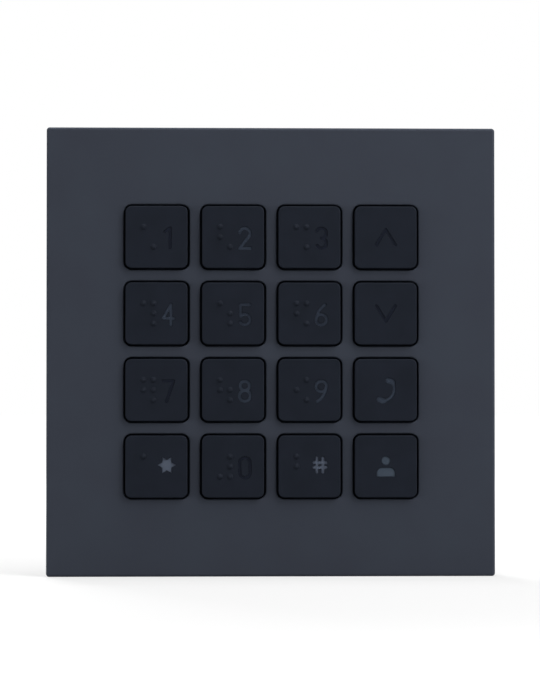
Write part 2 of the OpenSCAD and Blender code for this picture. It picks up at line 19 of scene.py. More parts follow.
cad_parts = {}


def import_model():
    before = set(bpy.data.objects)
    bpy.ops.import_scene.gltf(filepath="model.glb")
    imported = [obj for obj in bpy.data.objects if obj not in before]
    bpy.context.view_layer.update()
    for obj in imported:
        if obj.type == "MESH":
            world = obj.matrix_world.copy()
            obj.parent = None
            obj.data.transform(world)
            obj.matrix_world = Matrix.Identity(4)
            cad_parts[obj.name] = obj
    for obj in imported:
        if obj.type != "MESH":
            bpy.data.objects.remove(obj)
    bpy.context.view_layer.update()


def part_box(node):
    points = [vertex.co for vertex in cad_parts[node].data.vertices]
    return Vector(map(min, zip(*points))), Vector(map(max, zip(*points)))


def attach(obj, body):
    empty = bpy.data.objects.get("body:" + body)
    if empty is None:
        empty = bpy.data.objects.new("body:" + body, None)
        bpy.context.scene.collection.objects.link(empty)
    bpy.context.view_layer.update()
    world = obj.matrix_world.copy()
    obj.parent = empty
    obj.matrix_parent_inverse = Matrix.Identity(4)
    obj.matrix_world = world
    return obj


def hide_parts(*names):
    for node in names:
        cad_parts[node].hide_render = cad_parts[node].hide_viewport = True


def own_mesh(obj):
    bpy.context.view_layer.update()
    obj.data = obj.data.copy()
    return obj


LOG = logging.getLogger("keypad")
MM = 0.001
UNIT = "unit"
ROWS = 4
PLATE_WIDTH = 112 * MM
CASE_SCREW_AT = 41.175 * MM
BOARD_SCREW_AT = (40.375 * MM, 19 * MM)
INSERT_AT = 51 * MM
# Width of the flat strip that keeps the rounds beside a flat face out of its shading
STRIP = 0.02 * MM
# About the width of a wave texture's half waves at a scale of 1
HALF_WAVE = 0.16

Edges = list[BMEdge]
Steps = list[tuple[float, float]]
Spot = tuple[float, float]
Triple = tuple[float, float, float]
Socket = bpy.types.NodeSocket
Value = Union[float, tuple, Socket]
Inputs = dict[Union[str, int], Value]


class Slot(Enum):
    """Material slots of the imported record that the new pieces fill."""

    PLATE = "plate_paint"
    KEY = "key_plastic"
    MAT = "mat_rubber"
    BLOCK = "block_plastic"
    SCREW = "screw_steel"
    HOUSING = "housing_plastic"
    SEAL = "seal_rubber"
    INSERT = "insert_brass"


def tone(code: str) -> tuple[float, float, float, float]:
    """Turns a colour as it is seen into the light that a shader mixes.

    Args:
        code: the colour's red, green and blue, such as #3a3f48.
    Returns:
        Its shares of light, and 1 for solid.
    """
    parts = [int(code[k : k + 2], 16) / 255 for k in (1, 3, 5)]
    red, green, blue = (p / 12.92 if p <= 0.04045 else ((p + 0.055) / 1.055) ** 2.4 for p in parts)
    return red, green, blue, 1.0


# Finishes


class Wiring:
    """Adds shader nodes to one material and joins their sockets."""

    def __init__(self, name: str) -> None:
        """Starts a material with its one shader.

        Args:
            name: the material's name.
        """
        self.material = bpy.data.materials.new(name)
        self.material.use_nodes = True
        self.tree = self.material.node_tree
        self.shader = self.tree.nodes["Principled BSDF"]
        self.place = self.add("ShaderNodeTexCoord").outputs["Object"]

    def feed(self, socket: Socket, value: Value) -> None:
        """Sets a socket or joins another one to it.

        Args:
            socket: the socket to feed.
            value: a number, a colour or the other socket.
        """
        if isinstance(value, Socket):
            self.tree.links.new(value, socket)
        else:
            socket.default_value = value

    def add(self, kind: str, inputs: Optional[Inputs] = None, **settings: object) -> bpy.types.Node:
        """Adds a node.

        Args:
            kind: Blender's name of the node.
            inputs: what goes into its sockets.
            settings: the node's own choices.
        Returns:
            The node.
        """
        node = self.tree.nodes.new(kind)
        for name, choice in settings.items():
            setattr(node, name, choice)
        for name, value in (inputs or {}).items():
            self.feed(node.inputs[name], value)
        return node

    def noise(self, size: float, detail: float = 2.0, stretch: Triple = (1, 1, 1)) -> Socket:
        """Gives cloudy values from 0 to 1.

        Args:
            size: width of the clouds.
            detail: how many finer layers they carry.
            stretch: share of the clouds' own scale along each axis.
        Returns:
            The value's socket.
        """
        spot = self.add("ShaderNodeMapping", {"Vector": self.place, "Scale": stretch}).outputs[0]
        inputs = {"Vector": spot, "Scale": 1 / size, "Detail": detail}
        return self.add("ShaderNodeTexNoise", inputs).outputs[0]

    def bands(self, width: float, along: str, wobble: float = 0.0, detail: float = 0.0) -> Socket:
        """Gives bands that go from 0 to 1 and back.

        Args:
            width: width of each light or dark band.
            along: the axis that they follow each other along.
            wobble: how far they are bent.
            detail: how many finer layers the bends carry.
        Returns:
            The value's socket.
        """
        inputs = {"Vector": self.place, "Scale": HALF_WAVE / width, "Distortion": wobble, "Detail": detail}
        node = self.add("ShaderNodeTexWave", inputs, wave_type="BANDS", bands_direction=along)
        return node.outputs["Fac"]

    def spread(
        self, value: Socket, low: float, high: float, start: float = 0.3, end: float = 0.7,
    ) -> Socket:
        """Maps a value from start..end to low..high."""
        inputs = {0: value, 1: start, 2: end, 3: low, 4: high}
        return self.add("ShaderNodeMapRange", inputs).outputs[0]

    def mix(self, share: Value, first: Value, second: Value) -> Socket:
        """Mixes two colours."""
        return self.add("ShaderNodeMix", {0: share, 6: first, 7: second}, data_type="RGBA").outputs[2]

    def math(self, work: str, first: Value, second: Value) -> Socket:
        """Works out one number from two."""
        return self.add("ShaderNodeMath", {0: first, 1: second}, operation=work).outputs[0]

    def ridge_wear_and_highlight(self) -> Socket:
        """Gives 1 along the rounded ridges of a mesh, where the wear and the painted highlight go, and 0
        elsewhere.
        """
        return self.add("ShaderNodeAttribute", attribute_name="edge").outputs["Fac"]

    def bump(self, height: Socket, depth: float, under: Optional[Socket] = None) -> Socket:
        """Raises the surface.

        Args:
            height: the relief, from 0 to 1.
            depth: how far it rises at 1.
            under: another bump that it lies on.
        Returns:
            The normal's socket.
        """
        inputs: Inputs = {"Height": height, "Distance": depth, "Strength": 1.0}
        if under is not None:
            inputs["Normal"] = under
        return self.add("ShaderNodeBump", inputs).outputs[0]


@dataclass(frozen=True)
class Finish:
    """A surface with two near tones, a band of gloss, a grain, and a lighter tone on its rounded ridges
    that is partly wear and partly a painted highlight.
    """

    name: str
    colour: str
    drift: str
    rough: tuple[float, float] = (0.5, 0.6)
    patch: float = 9 * MM
    grain: float = 0.3 * MM
    grain_depth: float = 0.006 * MM
    swell: float = 2.0 * MM
    swell_depth: float = 0.004 * MM
    # Lighter tone along the rounded ridges: partly wear, partly a painted highlight
    ridge_wear_and_highlight: Optional[str] = None
    ridge_share: float = 0.5
    wear_and_highlight_patch: float = 1.2 * MM
    metal: float = 0.0
    specular: float = 0.5
    stretch: Triple = (1, 1, 1)

    def material(self) -> bpy.types.Material:
        """Makes the finish's material at its first use.

        Returns:
            The material.
        """
        known = bpy.data.materials.get(self.name)
        if known is not None:
            return known
        wiring = Wiring(self.name)
        self.wire(wiring)
        return wiring.material

    def wire(self, w: Wiring) -> None:
        """Joins up the tones, the gloss and the grain.

        Args:
            w: the material's wiring.
        """
        w.feed(w.shader.inputs["Metallic"], self.metal)
        w.feed(w.shader.inputs["Specular IOR Level"], self.specular)
        w.feed(w.shader.inputs["Base Color"], self.tint(w))
        w.feed(w.shader.inputs["Roughness"], self.gloss(w))
        w.feed(w.shader.inputs["Normal"], self.relief(w))

    def tint(self, w: Wiring) -> Socket:
        """Drifts between the two tones, with a lighter tone on the ridges that is partly wear and partly a
        painted highlight.

        Args:
            w: the material's wiring.
        Returns:
            The colour's socket.
        """
        share = w.spread(w.noise(self.patch, detail=4.0, stretch=self.stretch), 0.0, 1.0)
        seen = w.mix(share, tone(self.colour), tone(self.drift))
        if self.ridge_wear_and_highlight is None:
            return seen
        # Paints the lighter ridge tone in patches, partly as wear and partly as a highlight where the
        # rounds would catch the light
        wear_and_highlight_mask = w.math("MULTIPLY", w.ridge_wear_and_highlight(), w.spread(w.noise(self.wear_and_highlight_patch, detail=3.0), 0.2, 1.0))
        return w.mix(w.math("MULTIPLY", wear_and_highlight_mask, self.ridge_share), seen, tone(self.ridge_wear_and_highlight))

    def gloss(self, w: Wiring) -> Socket:
        """Varies the roughness, a little finer than the tones."""
        return w.spread(w.noise(self.patch / 3, detail=5.0, stretch=self.stretch), *self.rough)

    def relief(self, w: Wiring) -> Socket:
        """Lays a fine grain over a soft swell."""
        swell = w.bump(w.noise(self.swell, stretch=self.stretch), self.swell_depth)
        return w.bump(w.noise(self.grain, detail=3.0, stretch=self.stretch), self.grain_depth, swell)


@dataclass(frozen=True)
class Resin(Finish):
    """A finish that lets some light in below its surface."""

    depth: float = 0.4 * MM
    share: float = 0.3

    def wire(self, w: Wiring) -> None:
        """Adds the light below the surface to the plain finish.

        Args:
            w: the material's wiring.
        """
        super().wire(w)
        w.feed(w.shader.inputs["Subsurface Weight"], self.share)
        w.feed(w.shader.inputs["Subsurface Scale"], self.depth)
        w.feed(w.shader.inputs["Subsurface Radius"], (1.0, 1.0, 1.0))


@dataclass(frozen=True)
class Laminate(Finish):
    """Lacquered circuit board with copper lines that show through the lacquer."""

    line: str = "#3f8a55"
    line_share: float = 0.8
    line_edge: tuple[float, float] = (0.62, 0.7)
    pitch: float = 1.27 * MM
    course: float = 12.7 * MM
    bare: float = 0.45

    def tint(self, w: Wiring) -> Socket:
        """Draws the lines as bands in blocks one course wide and leaves some blocks bare.

        Args:
            w: the material's wiring.
        Returns:
            The colour's socket.
        """
        seen = super().tint(w)
        lines = w.spread(w.bands(self.pitch, "X"), 0.0, self.line_share, *self.line_edge)
        blocks = {"Vector": w.place, "Scale": 1 / self.course, "Randomness": 0.8}
        cells = w.add("ShaderNodeTexVoronoi", blocks, feature="F1", distance="CHEBYCHEV").outputs["Color"]
        level = w.add("ShaderNodeSeparateColor", {0: cells}).outputs[0]
        lines = w.math("MULTIPLY", lines, w.math("GREATER_THAN", level, self.bare))
        return w.mix(lines, seen, tone(self.line))


@dataclass(frozen=True)
class Turned(Finish):
    """Metal with the fine rings that a lathe leaves around its axis along Y."""

    pitch: float = 0.12 * MM
    ring_depth: float = 0.002 * MM

    def relief(self, w: Wiring) -> Socket:
        """Lays the rings over the plain grain."""
        rings = w.bands(self.pitch, "Y", wobble=0.6, detail=1.0)
        return w.bump(rings, self.ring_depth, super().relief(w))


# The ridge colours below are partly wear and partly painted highlights along the rounded edges
PAINT = Finish(
    "face_plate_paint", "#3a3e48", "#3c414b", rough=(0.56, 0.68), patch=14 * MM,
    grain=0.22 * MM, grain_depth=0.010 * MM, swell=1.6 * MM, swell_depth=0.006 * MM,
    ridge_wear_and_highlight="#4b515c", specular=0.05,
)
CAP = Finish(
    "key_cap_plastic", "#1d2129", "#20242d", rough=(0.52, 0.64), patch=6 * MM,
    grain=0.18 * MM, grain_depth=0.007 * MM, swell=1.2 * MM, swell_depth=0.003 * MM,
    ridge_wear_and_highlight="#2e333d", specular=0.04,
)
MAT = Finish(
    "dome_mat_rubber", "#26272a", "#2b2c2f", rough=(0.66, 0.8), patch=8 * MM,
    grain=0.35 * MM, grain_depth=0.008 * MM, specular=0.3,
)
SEAL = Finish(
    "seal_rubber", "#16171a", "#1b1c1f", rough=(0.6, 0.76), patch=5 * MM,
    grain=0.4 * MM, grain_depth=0.010 * MM, specular=0.3,
)
BOARD = Laminate(
    "board_lacquer", "#1c5233", "#205a38", rough=(0.28, 0.42), patch=20 * MM,
    grain=0.5 * MM, grain_depth=0.004 * MM,
)
GOLD = Finish(
    "pad_gold_flash", "#d8b25a", "#c9a24b", rough=(0.26, 0.4), patch=1.5 * MM,
    grain=0.1 * MM, grain_depth=0.003 * MM, metal=1.0,
)
LAMP = Resin(
    "lamp_resin", "#f1ecd8", "#e9dfae", rough=(0.3, 0.4), patch=0.8 * MM,
    grain=0.2 * MM, grain_depth=0.002 * MM, share=0.5,
)
CHIP = Finish(
    "chip_moulding", "#17181a", "#1d1e21", rough=(0.5, 0.64), patch=3 * MM,
    grain=0.12 * MM, grain_depth=0.008 * MM,
)
CAN = Finish(
    "capacitor_can", "#b9bcc2", "#a9adb4", rough=(0.24, 0.4), patch=2 * MM,
    grain=0.08 * MM, grain_depth=0.002 * MM, metal=1.0, stretch=(1, 0.08, 1),
)
BLOCK = Finish(
    "wiring_block_plastic", "#2b6e46", "#2f774c", rough=(0.42, 0.55), patch=7 * MM,
    grain=0.25 * MM, grain_depth=0.006 * MM, ridge_wear_and_highlight="#3d8a5c", ridge_share=0.35, specular=0.4,
)
CLAMP = Finish(
    "clamp_plating", "#b4b6b8", "#a4a6a9", rough=(0.26, 0.42), patch=2 * MM,
    grain=0.12 * MM, grain_depth=0.003 * MM, metal=1.0,
)
STEEL = Turned(
    "screw_plating", "#a8abae", "#95989c", rough=(0.24, 0.4), patch=2 * MM,
    grain=0.15 * MM, grain_depth=0.003 * MM, metal=1.0,
)
CASE = Finish(
    "rear_housing_plastic", "#26282d", "#2a2c31", rough=(0.5, 0.66), patch=16 * MM,
    grain=0.4 * MM, grain_depth=0.016 * MM, swell=3 * MM, swell_depth=0.006 * MM,
    ridge_wear_and_highlight="#34373d", ridge_share=0.4, specular=0.25,
)
BRASS = Turned(
    "insert_brass", "#c6a052", "#b58f43", rough=(0.22, 0.38), patch=2 * MM,
    grain=0.15 * MM, grain_depth=0.003 * MM, metal=1.0,
)


class FillingLightAndShade(Enum):
    """A legend's smoky filling as two tones, in five versions that differ only by painted light and shade:
    the darkest paints shade into the engraved grooves, and the lighter ones paint a weak backlit glow,
    stronger on some keys than on others.
    """

    DARK = ("#131825", "#151a27")
    FAINTLY_LIT = ("#2b323f", "#2f3643")
    DIMLY_LIT = ("#313946", "#353d4a")
    HALF_LIT = ("#424c59", "#47515e")
    CLEAR = ("#525a69", "#596170")

    def finish(self) -> Resin:
        """Makes the filling's finish.

        Returns:
            A resin in the two tones.
        """
        return Resin(
            f"{self.name.lower()}_filling", *self.value, rough=(0.34, 0.46), patch=2 * MM,
            grain=0.15 * MM, grain_depth=0.004 * MM, swell=0.8 * MM, specular=0.08,
        )


# Mesh making


def quarter(out: float, back: float, hollow: bool = False, parts: int = 5) -> Steps:
    """Divides a quarter round between two faces that meet at a right angle.

    Args:
        out: how far it goes out of the outline.
        back: how far it goes along Y.
        hollow: whether it leaves along Y first instead of along the outline's plane.
        parts: number of flats that it is made of.
    Returns:
        How far each ring lies from the one before it, out and along Y.
    """
    turns = [math.pi / 2 * k / parts for k in range(parts + 1)]
    rise, run = [1 - math.cos(t) for t in turns], [math.sin(t) for t in turns]
    outs, backs = (rise, run) if hollow else (run, rise)
    return [(out * (outs[k + 1] - outs[k]), back * (backs[k + 1] - backs[k])) for k in range(parts)]


def upright(centre: Spot, y: float) -> Matrix:
    """Gives the place of a flat outline that stands across Y around a middle in X and Z."""
    return Matrix.Translation((centre[0], y, centre[1])) @ Matrix.Rotation(math.pi / 2, 4, "X")


class Shell:
    """A mesh in the making, grown from flat outlines across Y by fills, sweeps and rounded edges."""

    def __init__(self, copy_of: Optional[str] = None, weld: float = 0.03 * MM) -> None:
        """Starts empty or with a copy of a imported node.

        Args:
            copy_of: the node's name.
            weld: length below which the copy's steps are merged.
        """
        self.bm = bmesh.new()
        if copy_of is not None:
            self.bm.from_mesh(bpy.data.objects[copy_of].data)
            bmesh.ops.remove_doubles(self.bm, verts=self.bm.verts, dist=weld)
        self.bm.verts.layers.float_vector.new("away")
        self.bm.verts.layers.float.new("edge")
        self.away = self.bm.verts.layers.float_vector["away"]
        self.wear_and_highlight_mask = self.bm.verts.layers.float["edge"]

    def _outline(self, faces: Iterable[BMFace]) -> Edges:
        """Keeps the border of flat faces and notes the way out of it at each of its corners.

        Args:
            faces: flat faces that share one plane.
        Returns:
            The border's edges. The faces themselves are removed.
        """
        self.bm.normal_update()
        own = set(faces)
        border: Edges = []
        ways: dict[BMVert, list[Vector]] = {}
        for face in own:
            for loop in face.loops:
                if sum(other in own for other in loop.edge.link_faces) == 1:
                    along = (loop.link_loop_next.vert.co - loop.vert.co).normalized()
                    border.append(loop.edge)
                    for vert in loop.edge.verts:
                        ways.setdefault(vert, []).append(along.cross(face.normal))
        for vert, turns in ways.items():
            vert[self.away] = (turns[0] + turns[-1]) / (1 + turns[0].dot(turns[-1]))
        bmesh.ops.delete(self.bm, geom=list(own), context="FACES_ONLY")
        return border

    def square(
        self, centre: Spot, width: float, radius: float, y: float, height: Optional[float] = None,
    ) -> Edges:
        """Draws a square or oblong outline with round corners.

        Args:
            centre: its middle in X and Z.
            width: its width.
            radius: the corners' radius.
            y: the plane that it lies in.
            height: its height, where that isn't its width.
        Returns:
            The outline's edges.
        """
        place = upright(centre, y) @ Matrix.Diagonal((width, width if height is None else height, 1, 1))
        verts = bmesh.ops.create_grid(self.bm, x_segments=1, y_segments=1, size=0.5, matrix=place)["verts"]
        made = self._bevel(verts, radius, 8, "VERTICES")["verts"]
        return self._outline({face for vert in made for face in vert.link_faces})

    def circle(self, centre: Spot, radius: float, y: float, parts: int = 32) -> Edges:
        """Draws a round outline, or one with a few corners.

        Args:
            centre: its middle in X and Z.
            radius: its radius at the corners.
            y: the plane that it lies in.
            parts: number of its sides.
        Returns:
            The outline's edges.
        """
        made = bmesh.ops.create_circle(
            self.bm, cap_ends=True, radius=radius, segments=parts, matrix=upright(centre, y),
        )["verts"]
        return self._outline({face for vert in made for face in vert.link_faces})

    def notched(self, width: float, corner: float, radius: float, y: float) -> Edges:
        """Draws a square outline whose corners go round the inner side of a boss.

        Args:
            width: the square's width.
            corner: distance of each boss's middle from the two middle lines.
            radius: the bosses' radius.
            y: the plane that it lies in.
        Returns:
            The outline's edges.
        """
        known = set(self.bm.edges)
        reach = width / 2 - corner
        lead = math.sqrt(radius**2 - reach**2)
        span = 1.5 * math.pi - 2 * math.atan2(lead, reach)
        ends: list[tuple[BMVert, BMVert]] = []
        for k in range(4):
            turn = Matrix.Rotation(math.pi / 2 * k, 4, "Y")
            start = self.bm.verts.new(turn @ Vector((corner - lead, y, corner + reach)))
            middle = turn @ Vector((corner, y, corner))
            made = bmesh.ops.spin(
                self.bm, geom=[start], cent=middle, axis=(0, 1, 0), angle=-span, steps=20, use_merge=False,
            )["geom_last"]
            ends.append((start, next(g for g in made if isinstance(g, BMVert))))
        for k in range(4):
            self.bm.edges.new((ends[k - 1][1], ends[k][0]))
        edges = [e for e in self.bm.edges if e not in known]
        faces = bmesh.ops.contextual_create(self.bm, geom=edges)["faces"]
        return self._outline(faces)

    def sweep(self, edges: Edges, *steps: tuple[float, float]) -> Edges:
        """Draws an outline out and back into a wall, ring by ring.

        Args:
            edges: the outline to start from.
            steps: how far each ring lies from the one before it, out and along Y.
        Returns:
            The last ring's edges.
        """
        for out, back in steps:
            made = bmesh.ops.extrude_edge_only(self.bm, edges=edges)["geom"]
            verts = {g for g in made if isinstance(g, BMVert)}
            edges = [g for g in made if isinstance(g, BMEdge) and all(v in verts for v in g.verts)]
            for vert in verts:
                vert.co += out * Vector(vert[self.away]) + Vector((0, back, 0))
                vert[self.wear_and_highlight_mask] = 0.0
        return edges

    def round_over(
        self, edges: Edges, out: float, back: float, hollow: bool = False, parts: int = 5,
    ) -> Edges:
        """Rounds an outline over into the next face and marks the ridge for the lighter tone that is partly
        wear and partly a painted highlight.

        Args:
            edges: the outline to start from.
            out: how far it goes out of the outline.
            back: how far it goes along Y.
            hollow: whether it leaves along Y first.
            parts: number of flats in the round.
        Returns:
            The last ring's edges.
        """
        for k, step in enumerate(quarter(out, back, hollow, parts), 1):
            edges = self.sweep(edges, step)
            for vert in {v for e in edges for v in e.verts}:
                # Strongest at the middle of the round, where the painted highlight sits
                vert[self.wear_and_highlight_mask] = math.sin(math.pi * k / parts)
        return edges

    def into_wall(self, edges: Edges, length: float, out: float, parts: int = 4) -> Edges:
        """Rounds a flat face's border over into a wall along Y.

        Args:
            edges: the border to start from.
            length: how far it goes along Y, with the round.
            out: the round's radius, less than 0 where it goes into a hole.
            parts: number of flats in the round.
        Returns:
            The last ring's edges.
        """
        back = math.copysign(out, length)
        return self.sweep(self.round_over(edges, out, back, parts=parts), (0, length - back))

    def into_face(self, edges: Edges, length: float, out: float, parts: int = 3) -> Edges:
        """Draws a wall along Y whose end rounds over into a flat face.

        Args:
            edges: the outline to start from.
            length: how far it goes along Y, with the round.
            out: the round's radius, less than 0 where it goes in over the wall's own end.
            parts: number of flats in the round.
        Returns:
            The last ring's edges.
        """
        back = math.copysign(out, length)
        return self.round_over(self.sweep(edges, (0, length - back)), out, back, hollow=True, parts=parts)

    def flange(self, edges: Edges, length: float, reach: float, depth: float, soft: float) -> Edges:
        """Draws a wall along Y that ends in a flange.

        Args:
            edges: the outline to start from.
            length: how far the wall goes along Y.
            reach: how far the flange goes out of the wall.
            depth: how far the flange goes on along Y.
            soft: the rounding of its edges.
        Returns:
            The border of the flange's end face.
        """
        ledge = self.sweep(self.into_face(edges, length, soft), (reach - 2 * soft, 0))
        back = math.copysign(soft, depth)
        ledge = self.round_over(ledge, soft, back, parts=3)
        return self.into_face(ledge, depth - back, -soft)

    def fill(self, *outlines: Edges, strip: float = 0.0) -> None:
        """Closes the flat inside an outline and leaves the outlines within it open.

        Args:
            outlines: the outer outline and those within it.
            strip: width of a flat strip along them.
        """
        rings = list(outlines)
        if strip > 0:
            rings = [self.sweep(ring, (strip if k else -strip, 0)) for k, ring in enumerate(outlines)]
        bmesh.ops.triangle_fill(self.bm, use_beauty=True, edges=[e for ring in rings for e in ring])

    def front_of(self, low: float) -> Edges:
        """Keeps only the border of the front faces of a copied node.

        Args:
            low: the plane that its front lies in.
        Returns:
            The border's edges.
        """
        self.bm.normal_update()
        ahead = [f for f in self.bm.faces if f.normal.y < -0.99]
        border = self._outline(f for f in ahead if abs(f.calc_center_median().y - low) < 0.01 * MM)
        kept = {v for e in border for v in e.verts}
        bmesh.ops.delete(self.bm, geom=[v for v in self.bm.verts if v not in kept], context="VERTS")
        bmesh.ops.delete(self.bm, geom=list(self.bm.faces), context="FACES_ONLY")
        bmesh.ops.delete(self.bm, geom=[e for e in self.bm.edges if e not in set(border)], context="EDGES")
        return [e for e in border if e.is_valid]

    def shift(self, edges: Edges, out: float, y: float) -> Edges:
        """Moves an outline along Y and widens it.

        Args:
            edges: the outline.
            out: how far it is widened.
            y: the plane that it goes to.
        Returns:
            The same edges.
        """
        for vert in {v for e in edges for v in e.verts}:
            vert.co += out * Vector(vert[self.away])
            vert.co.y = y
        return edges

    def turn(self, centre: Spot, profile: Sequence[Spot], parts: int = 40) -> None:
        """Turns a profile around an axis along Y into a closed body.

        Args:
            centre: the axis in X and Z.
            profile: radius and Y of each point, from the axis back to the axis or in a closed ring.
            parts: number of sides.
        """
        verts = [self.bm.verts.new((centre[0] + r, y, centre[1])) for r, y in profile]
        edges = [self.bm.edges.new(pair) for pair in zip(verts, verts[1:])]
        if profile[0][0] > 0:
            edges.append(self.bm.edges.new((verts[-1], verts[0])))
        bmesh.ops.spin(
            self.bm, geom=verts + edges, cent=(centre[0], 0, centre[1]), axis=(0, 1, 0),
            angle=2 * math.pi, steps=parts, use_merge=True,
        )
        bmesh.ops.remove_doubles(self.bm, verts=self.bm.verts, dist=0.0005 * MM)

    def thread(self, edges: Edges, length: float, pitch: float, depth: float) -> Edges:
        """Draws a round outline along Y into a shank with the ridges of a thread.

        Args:
            edges: the outline to start from.
            length: how far it goes along Y.
            pitch: distance between ridges.
            depth: depth of the furrows.
        Returns:
            The last ring's edges.
        """
        turns = max(1, round(abs(length) / pitch))
        half = length / turns / 2
        return self.sweep(edges, *[(-depth, half), (depth, half)] * turns)

    def _patches(self, low: Vector, high: Vector) -> list[BMFace]:
        """Divides the flat walls that lie across Z along the sides of a box.

        Args:
            low: the box's lowest corner.
            high: its highest corner.
        Returns:
            The faces that lie within the box.
        """
        for axis, way in enumerate(((1, 0, 0), (0, 1, 0))):
            for side in (low, high):
                flat = [f for f in self._across(low, high) if any(low[axis] < v.co[axis] for v in f.verts)]
                geom = list({g for f in flat for g in (f, *f.edges, *f.verts)})
                bmesh.ops.bisect_plane(self.bm, geom=geom, dist=0.0001 * MM, plane_co=side, plane_no=way)
        inner = []
        for face in self._across(low, high):
            middle = face.calc_center_median()
            if low.x < middle.x < high.x and low.y < middle.y < high.y:
                inner.append(face)
        return inner

    def _across(self, low: Vector, high: Vector) -> list[BMFace]:
        """Finds the flat faces across Z that a box goes through.

        Args:
            low: the box's lowest corner.
            high: its highest corner.
        Returns:
            The faces.
        """
        self.bm.normal_update()
        found = []
        for face in self.bm.faces:
            if abs(face.normal.z) > 0.999 and low.z < face.verts[0].co.z < high.z:
                spans = [[v.co[k] for v in face.verts] for k in (0, 1)]
                if all(min(spans[k]) < high[k] and max(spans[k]) > low[k] for k in (0, 1)):
                    found.append(face)
        return found

    def window(self, low: Vector, high: Vector, radius: float, lip: float) -> None:
        """Cuts an oblong window along Z through a wall with two flat sides.

        Args:
            low: the window's lowest corner, outside the wall.
            high: its highest corner, on the wall's other side.
            radius: the radius of its corners.
            lip: the rounding of its rims.
        """
        inner = self._patches(low, high)
        rims = list({e for f in inner for e in f.edges})
        bmesh.ops.delete(self.bm, geom=inner, context="FACES_ONLY")
        walls = bmesh.ops.bridge_loops(self.bm, edges=rims)["faces"]
        corners = {e for f in walls for e in f.edges if abs(e.verts[0].co.z - e.verts[1].co.z) > lip}
        walls = self._soften(corners, radius)
        self.bm.normal_update()
        rims = {e for f in walls for e in f.edges if any(abs(o.normal.z) > 0.99 for o in e.link_faces)}
        self._soften(rims, lip)

    def pocket(self, low: Vector, high: Vector, depth: float, lip: float) -> BMFace:
        """Sinks an oblong pocket along +Z into a flat face that looks along -Z.

        Args:
            low: the pocket's lowest corner, outside the face.
            high: its highest corner, just inside the face.
            depth: how deep it goes.
            lip: the rounding of its rim.
        Returns:
            The pocket's side that looks along -Y.
        """
        mouth = self._patches(low, high)
        floor = bmesh.ops.extrude_discrete_faces(self.bm, faces=mouth)["faces"][0]
        sides = {o for e in floor.edges for o in e.link_faces if o is not floor}
        bottom = set(floor.edges)
        bmesh.ops.translate(self.bm, verts=floor.verts, vec=(0, 0, depth))
        beyond = [e for f in sides for e in f.edges if e not in bottom]
        self._soften([e for e in beyond if abs(e.verts[0].co.z - e.verts[1].co.z) < lip], lip)
        sides = {o for e in floor.edges for o in e.link_faces if o is not floor}
        return max(sides, key=lambda f: f.calc_center_median().y)

    def _soften(self, edges: Iterable[BMEdge], size: float) -> list[BMFace]:
        """Rounds edges over and gives the faces of the rounds and those beside them."""
        made = self._bevel(edges, size, 4, "EDGES")["faces"]
        return list({o for f in made for e in f.edges for o in e.link_faces if abs(o.normal.z) < 0.9})

    def _bevel(
        self, geom: Iterable[Union[BMVert, BMEdge]], size: float, segments: int, affect: str,
    ) -> dict[str, list]:
        """Rounds corners or edges over.

        Args:
            geom: the corners or edges.
            size: how far from them the round starts.
            segments: number of flats in the round.
            affect: which of the two they are, in the operator's own words.
        Returns:
            What the operator made, by kind.
        """
        return bmesh.ops.bevel(
            self.bm, geom=list(geom), offset=size, offset_type="OFFSET", segments=segments, profile=0.5,
            affect=affect, material=-1,
        )


@dataclass
class Piece:
    """What a finished mesh is called, what it is made of and what it rides on."""

    name: str
    finish: Finish
    slot: Slot
    body: str = UNIT
    stands_for: tuple[str, ...] = ()
    crease: float = 32.0

    def make(self, shell: Shell) -> bpy.types.Object:
        """Turns a shell into an object of the scene.

        Args:
            shell: the closed mesh, which is used up.
        Returns:
            The object, riding on its body.
        """
        bm = shell.bm
        bmesh.ops.recalc_face_normals(bm, faces=bm.faces)
        bm.verts.layers.float_vector.remove(shell.away)
        mesh = bpy.data.meshes.new(self.name)
        bm.to_mesh(mesh)
        bm.free()
        mesh.polygons.foreach_set("use_smooth", [True] * len(mesh.polygons))
        mesh.set_sharp_from_angle(angle=math.radians(self.crease))
        mesh.materials.append(self.finish.material())
        piece = bpy.data.objects.new(self.name, mesh)
        bpy.context.scene.collection.objects.link(piece)
        even = piece.modifiers.new("flat_faces_stay_flat", "WEIGHTED_NORMAL")
        even.keep_sharp = True
        even.weight = 80
        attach(piece, self.body)
        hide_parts(*self.stands_for)
        LOG.info("%s: %d faces on %s", self.name, len(mesh.polygons), self.body)
        return piece


# Sub-assemblies


def four(x: float, z: Optional[float] = None) -> list[Spot]:
    """Gives the four places that lie x and z, or x both ways, from the middle."""
    up = x if z is None else z
    return [(side * x, end * up) for side in (-1, 1) for end in (-1, 1)]


@dataclass(frozen=True)
class Post:
    """A post behind the plate's skin: its place, radius and top, and its hole's radius and depth."""

    x: float
    z: float
    radius: float
    top: float
    bore: float
    depth: float


